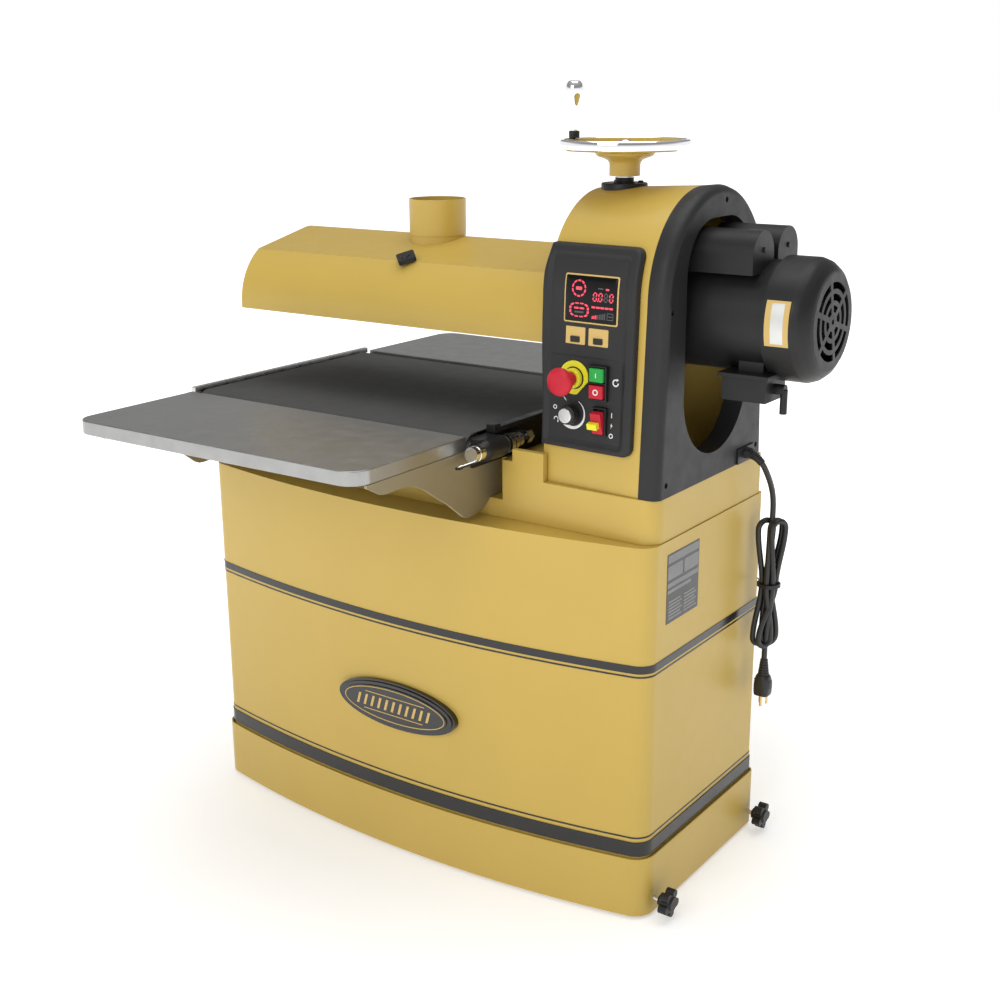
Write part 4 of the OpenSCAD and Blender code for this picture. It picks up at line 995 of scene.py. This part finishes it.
def make_controls():
    # yellow disc with its ribbed collar
    sx, sz = 303.5, 865.5
    y = surf(sx, sz)
    bm = bmesh.new()
    lathe(bm, [(11, y + 3), (26, y + 3), (26, y - 0.6), (25.2, y - 1.4), (17.2, y - 1.4)], "Y", (sx, 0, sz),
          n=112)
    prof = [(15.2, y)]
    for k in range(3):
        prof += [(15.2, y - 1.6 - 2.4 * k), (15.2, y - 3.2 - 2.4 * k), (14.6, y - 3.5 - 2.4 * k),
                 (14.6, y - 3.9 - 2.4 * k)]
    prof += [(15.0, y - 9.6), (13.4, y - 10.6), (10.8, y - 10.6), (10.8, y)]
    lathe(bm, prof, "Y", (sx, 0, sz), n=96)
    finish_piece("stop_collar", bm, "stand", YELLOW, replaces=("estop_collar",), sharp=30)
    bm = bmesh.new()
    lathe(bm, [(15.3, y - 0.6), (17.4, y - 0.6), (17.2, y - 1.9), (15.3, y - 1.9)], "Y", (sx, 0, sz), n=96)
    finish_piece("stop_collar_ring", bm, "stand", PLASTIC)
    bm = bmesh.new()
    head = [(0, -217.4), (7, -217.3), (13, -216.8), (17.6, -215.7), (20.3, -213.8), (21.4, -211.2),
            (21.4, -208.6), (20.4, -205.6), (18, -202.8), (15.6, -200.6), (10.6, -200.2), (10.6, -176),
            (0, -176)]
    lathe(bm, head, "Y", (sx, 0, sz), n=96)
    finish_piece("stop_mushroom", bm, "estop", RED, replaces=("estop_button",), sharp=45)
    soften("switch_block", PLASTIC, 1.0, 2)
    for name, mat in (("start_button", GREEN), ("stop_button", RED)):
        soften(name, mat, 1.6, 3)
    bm = bmesh.new()
    prism(bm, arc_band(349.5, 850.5, 3.0, 4.6, 0, 359.5, 40), "Y", -184.9, -184.5, place=facing_front)
    finish_piece("stop_ring_mark", bm, "stop", WHITE)
    bm = bmesh.new()
    prism(bm, rrect(348.8, 350.2, 872, 879, 0.5), "Y", -184.3, -183.9, place=facing_front)
    finish_piece("start_bar_mark", bm, "start", WHITE)
    # dial: ribbed skirt with a metal cap
    dx, dz = 302.5, 811
    bm = bmesh.new()
    n = 80
    rings = []
    for r, yy in ((13.4, -178.8), (15, -179.6), (15, -188), (14.4, -190.2), (12.6, -191.2), (10.4, -191.4)):
        radii = [r - (0.8 if k % 4 < 2 and yy > -189 else 0) for k in range(n)]
        rings.append([
            bm.verts.new((dx + radii[k] * turn(k, n)[0], yy, dz + radii[k] * turn(k, n)[1]))
            for k in range(n)])
    for a, b in zip(rings, rings[1:]):
        for k in range(n):
            j = (k + 1) % n
            bm.faces.new((a[k], a[j], b[j], b[k]))
    bm.faces.new(rings[0])
    bm.faces.new(rings[-1][::-1])
    lathe(bm, [(0, -180), (4.6, -180), (4.6, -168), (0, -168)], "Y", (dx, 0, dz), n=32)
    finish_piece("dial_skirt", bm, "dial", PLASTIC, replaces=("speed_dial",), sharp=40)
    bm = bmesh.new()
    lathe(bm, [(0, -191), (11.4, -191), (11.4, -194.8), (10.8, -195.7), (9.6, -195.95), (0, -196)], "Y",
          (dx, 0, dz), n=72)
    finish_piece("dial_cap", bm, "dial", DIAL, edge=0.25)

    def is_key(c):
        d = Vector((0, c.y + 179, c.z - 806))
        t = math.radians(14)
        return c.x < 359.5 and d.dot(Vector((0, math.cos(t), math.sin(t)))) < -10.1

    soften("toggle_switch", RED, 0.8, 2, zones=[(YELLOW, is_key)])
    # white marks
    bm = bmesh.new()
    on_panel(bm, arc_band(dx, dz, 21.4, 22.3, 62, -150, 48, 18.6, 25), 0.25, 0.6)
    on_panel(bm, arc_band(270, 817, 2.2, 3.5, 0, 359.5, 28), 0.25, 0.6)
    on_panel(bm, arc_band(272.5, 798.5, 3.0, 4.2, -20, 200, 20), 0.25, 0.6)
    on_panel(bm, rrect(272.5 + 2.8, 272.5 + 4.2, 793.8, 798.5, 0.5), 0.25, 0.6)
    on_panel(bm, rrect(282.4, 283.4, 834, 842, 0.4), 0.25, 0.6)
    on_panel(bm, [(285, 834), (286, 834.6), (291, 829.6), (290.2, 828.8)], 0.25, 0.6)
    on_panel(bm, arc_band(378, 866, 3.6, 5.6, 60, 360, 30), 0.25, 0.6)
    on_panel(bm, [(379.5, 872.6), (379.5, 868.0), (383.6, 871.0)], 0.25, 0.6)
    on_panel(bm, rrect(372.4, 373.8, 813, 820.5, 0.5), 0.25, 0.6)
    on_panel(bm, [(374.6, 805.5), (371.2, 800.8), (373.2, 800.8), (371.6, 796.4), (375.4, 801.9),
                  (373.4, 801.9)], 0.25, 0.6)
    on_panel(bm, arc_band(373, 785.8, 2.3, 3.7, 0, 359.5, 28), 0.25, 0.6)
    finish_piece("panel_marks", bm, "stand", WHITE)


make_display()
make_leds()
make_controls()


# ---------------------------------------------------------------- studio
FLOOR_R = 60  # metres


def make_studio():
    bm = bmesh.new()
    n = 48
    ring = [bm.verts.new((FLOOR_R * turn(k, n)[0], FLOOR_R * turn(k, n)[1], -0.0004)) for k in range(n)]
    bm.faces.new(ring)
    me = bpy.data.meshes.new("studio_floor")
    bm.to_mesh(me)
    bm.free()
    o = bpy.data.objects.new("studio_floor", me)
    m = look("floor_white", (0.86, 0.86, 0.86), rough=0.8, vary=0.01, grain=30, depth=0.1, strength=0.05,
             spec=0.2)
    b = m.node_tree.nodes["Principled BSDF"]
    b.inputs["Emission Color"].default_value = (1, 1, 1, 1)
    b.inputs["Emission Strength"].default_value = 0.42
    # the floor brightens away from the machine, so that it runs into the white background
    fnt = m.node_tree
    tex = fnt.nodes.new("ShaderNodeTexCoord")
    far = fnt.nodes.new("ShaderNodeVectorMath")
    far.operation = "LENGTH"
    fnt.links.new(tex.outputs["Object"], far.inputs[0])
    grow = fnt.nodes.new("ShaderNodeMapRange")
    grow.interpolation_type = "SMOOTHSTEP"
    for key, v in (("From Min", 0.3), ("From Max", 2.0), ("To Min", 0.40), ("To Max", 0.95)):
        grow.inputs[key].default_value = v
    fnt.links.new(far.outputs["Value"], grow.inputs["Value"])
    fnt.links.new(grow.outputs["Result"], b.inputs["Emission Strength"])
    me.materials.append(m)
    bpy.context.scene.collection.objects.link(o)
    w = bpy.data.worlds.new("studio")
    bpy.context.scene.world = w
    w.use_nodes = True
    nt = w.node_tree
    bg = nt.nodes["Background"]
    where = nt.nodes.new("ShaderNodeTexCoord")
    sep = nt.nodes.new("ShaderNodeSeparateXYZ")
    nt.links.new(where.outputs["Generated"], sep.inputs["Vector"])
    ramp = nt.nodes.new("ShaderNodeValToRGB")
    ramp.color_ramp.elements[0].position, ramp.color_ramp.elements[1].position = 0.0, 1.0
    ramp.color_ramp.elements[0].color = (1, 1, 1, 1)
    ramp.color_ramp.elements[1].color = (0.75, 0.75, 0.75, 1)
    for pos, v in ((0.10, 1.0), (0.20, 0.30), (0.40, 0.28), (0.8, 0.45)):
        e = ramp.color_ramp.elements.new(pos)
        e.color = (v, v, v, 1)
    nt.links.new(sep.outputs["Z"], ramp.inputs["Fac"])
    nt.links.new(ramp.outputs["Color"], bg.inputs["Color"])
    bg.inputs["Strength"].default_value = 1.0

    def area(name, at, to, size, power, colour=(1, 1, 1)):
        d = bpy.data.lights.new(name, "AREA")
        d.shape, d.size, d.size_y = "RECTANGLE", size[0], size[1]
        d.energy, d.color = power, colour
        lamp = bpy.data.objects.new(name, d)
        lamp.location = at
        lamp.rotation_euler = (Vector(to) - Vector(at)).to_track_quat("-Z", "Y").to_euler()
        bpy.context.scene.collection.objects.link(lamp)

    area("key", (0.2, -4.2, 2.9), (0.1, 0.0, 0.65), (2.8, 2.0), 60)
    area("top", (0.2, 0.1, 4.0), (0.1, 0.0, 0.7), (3.0, 3.0), 50)
    s = bpy.context.scene
    s.view_settings.view_transform = "Standard"
    s.view_settings.look = "None"
    s.view_settings.exposure = 0
    s.view_settings.gamma = 1


make_studio()
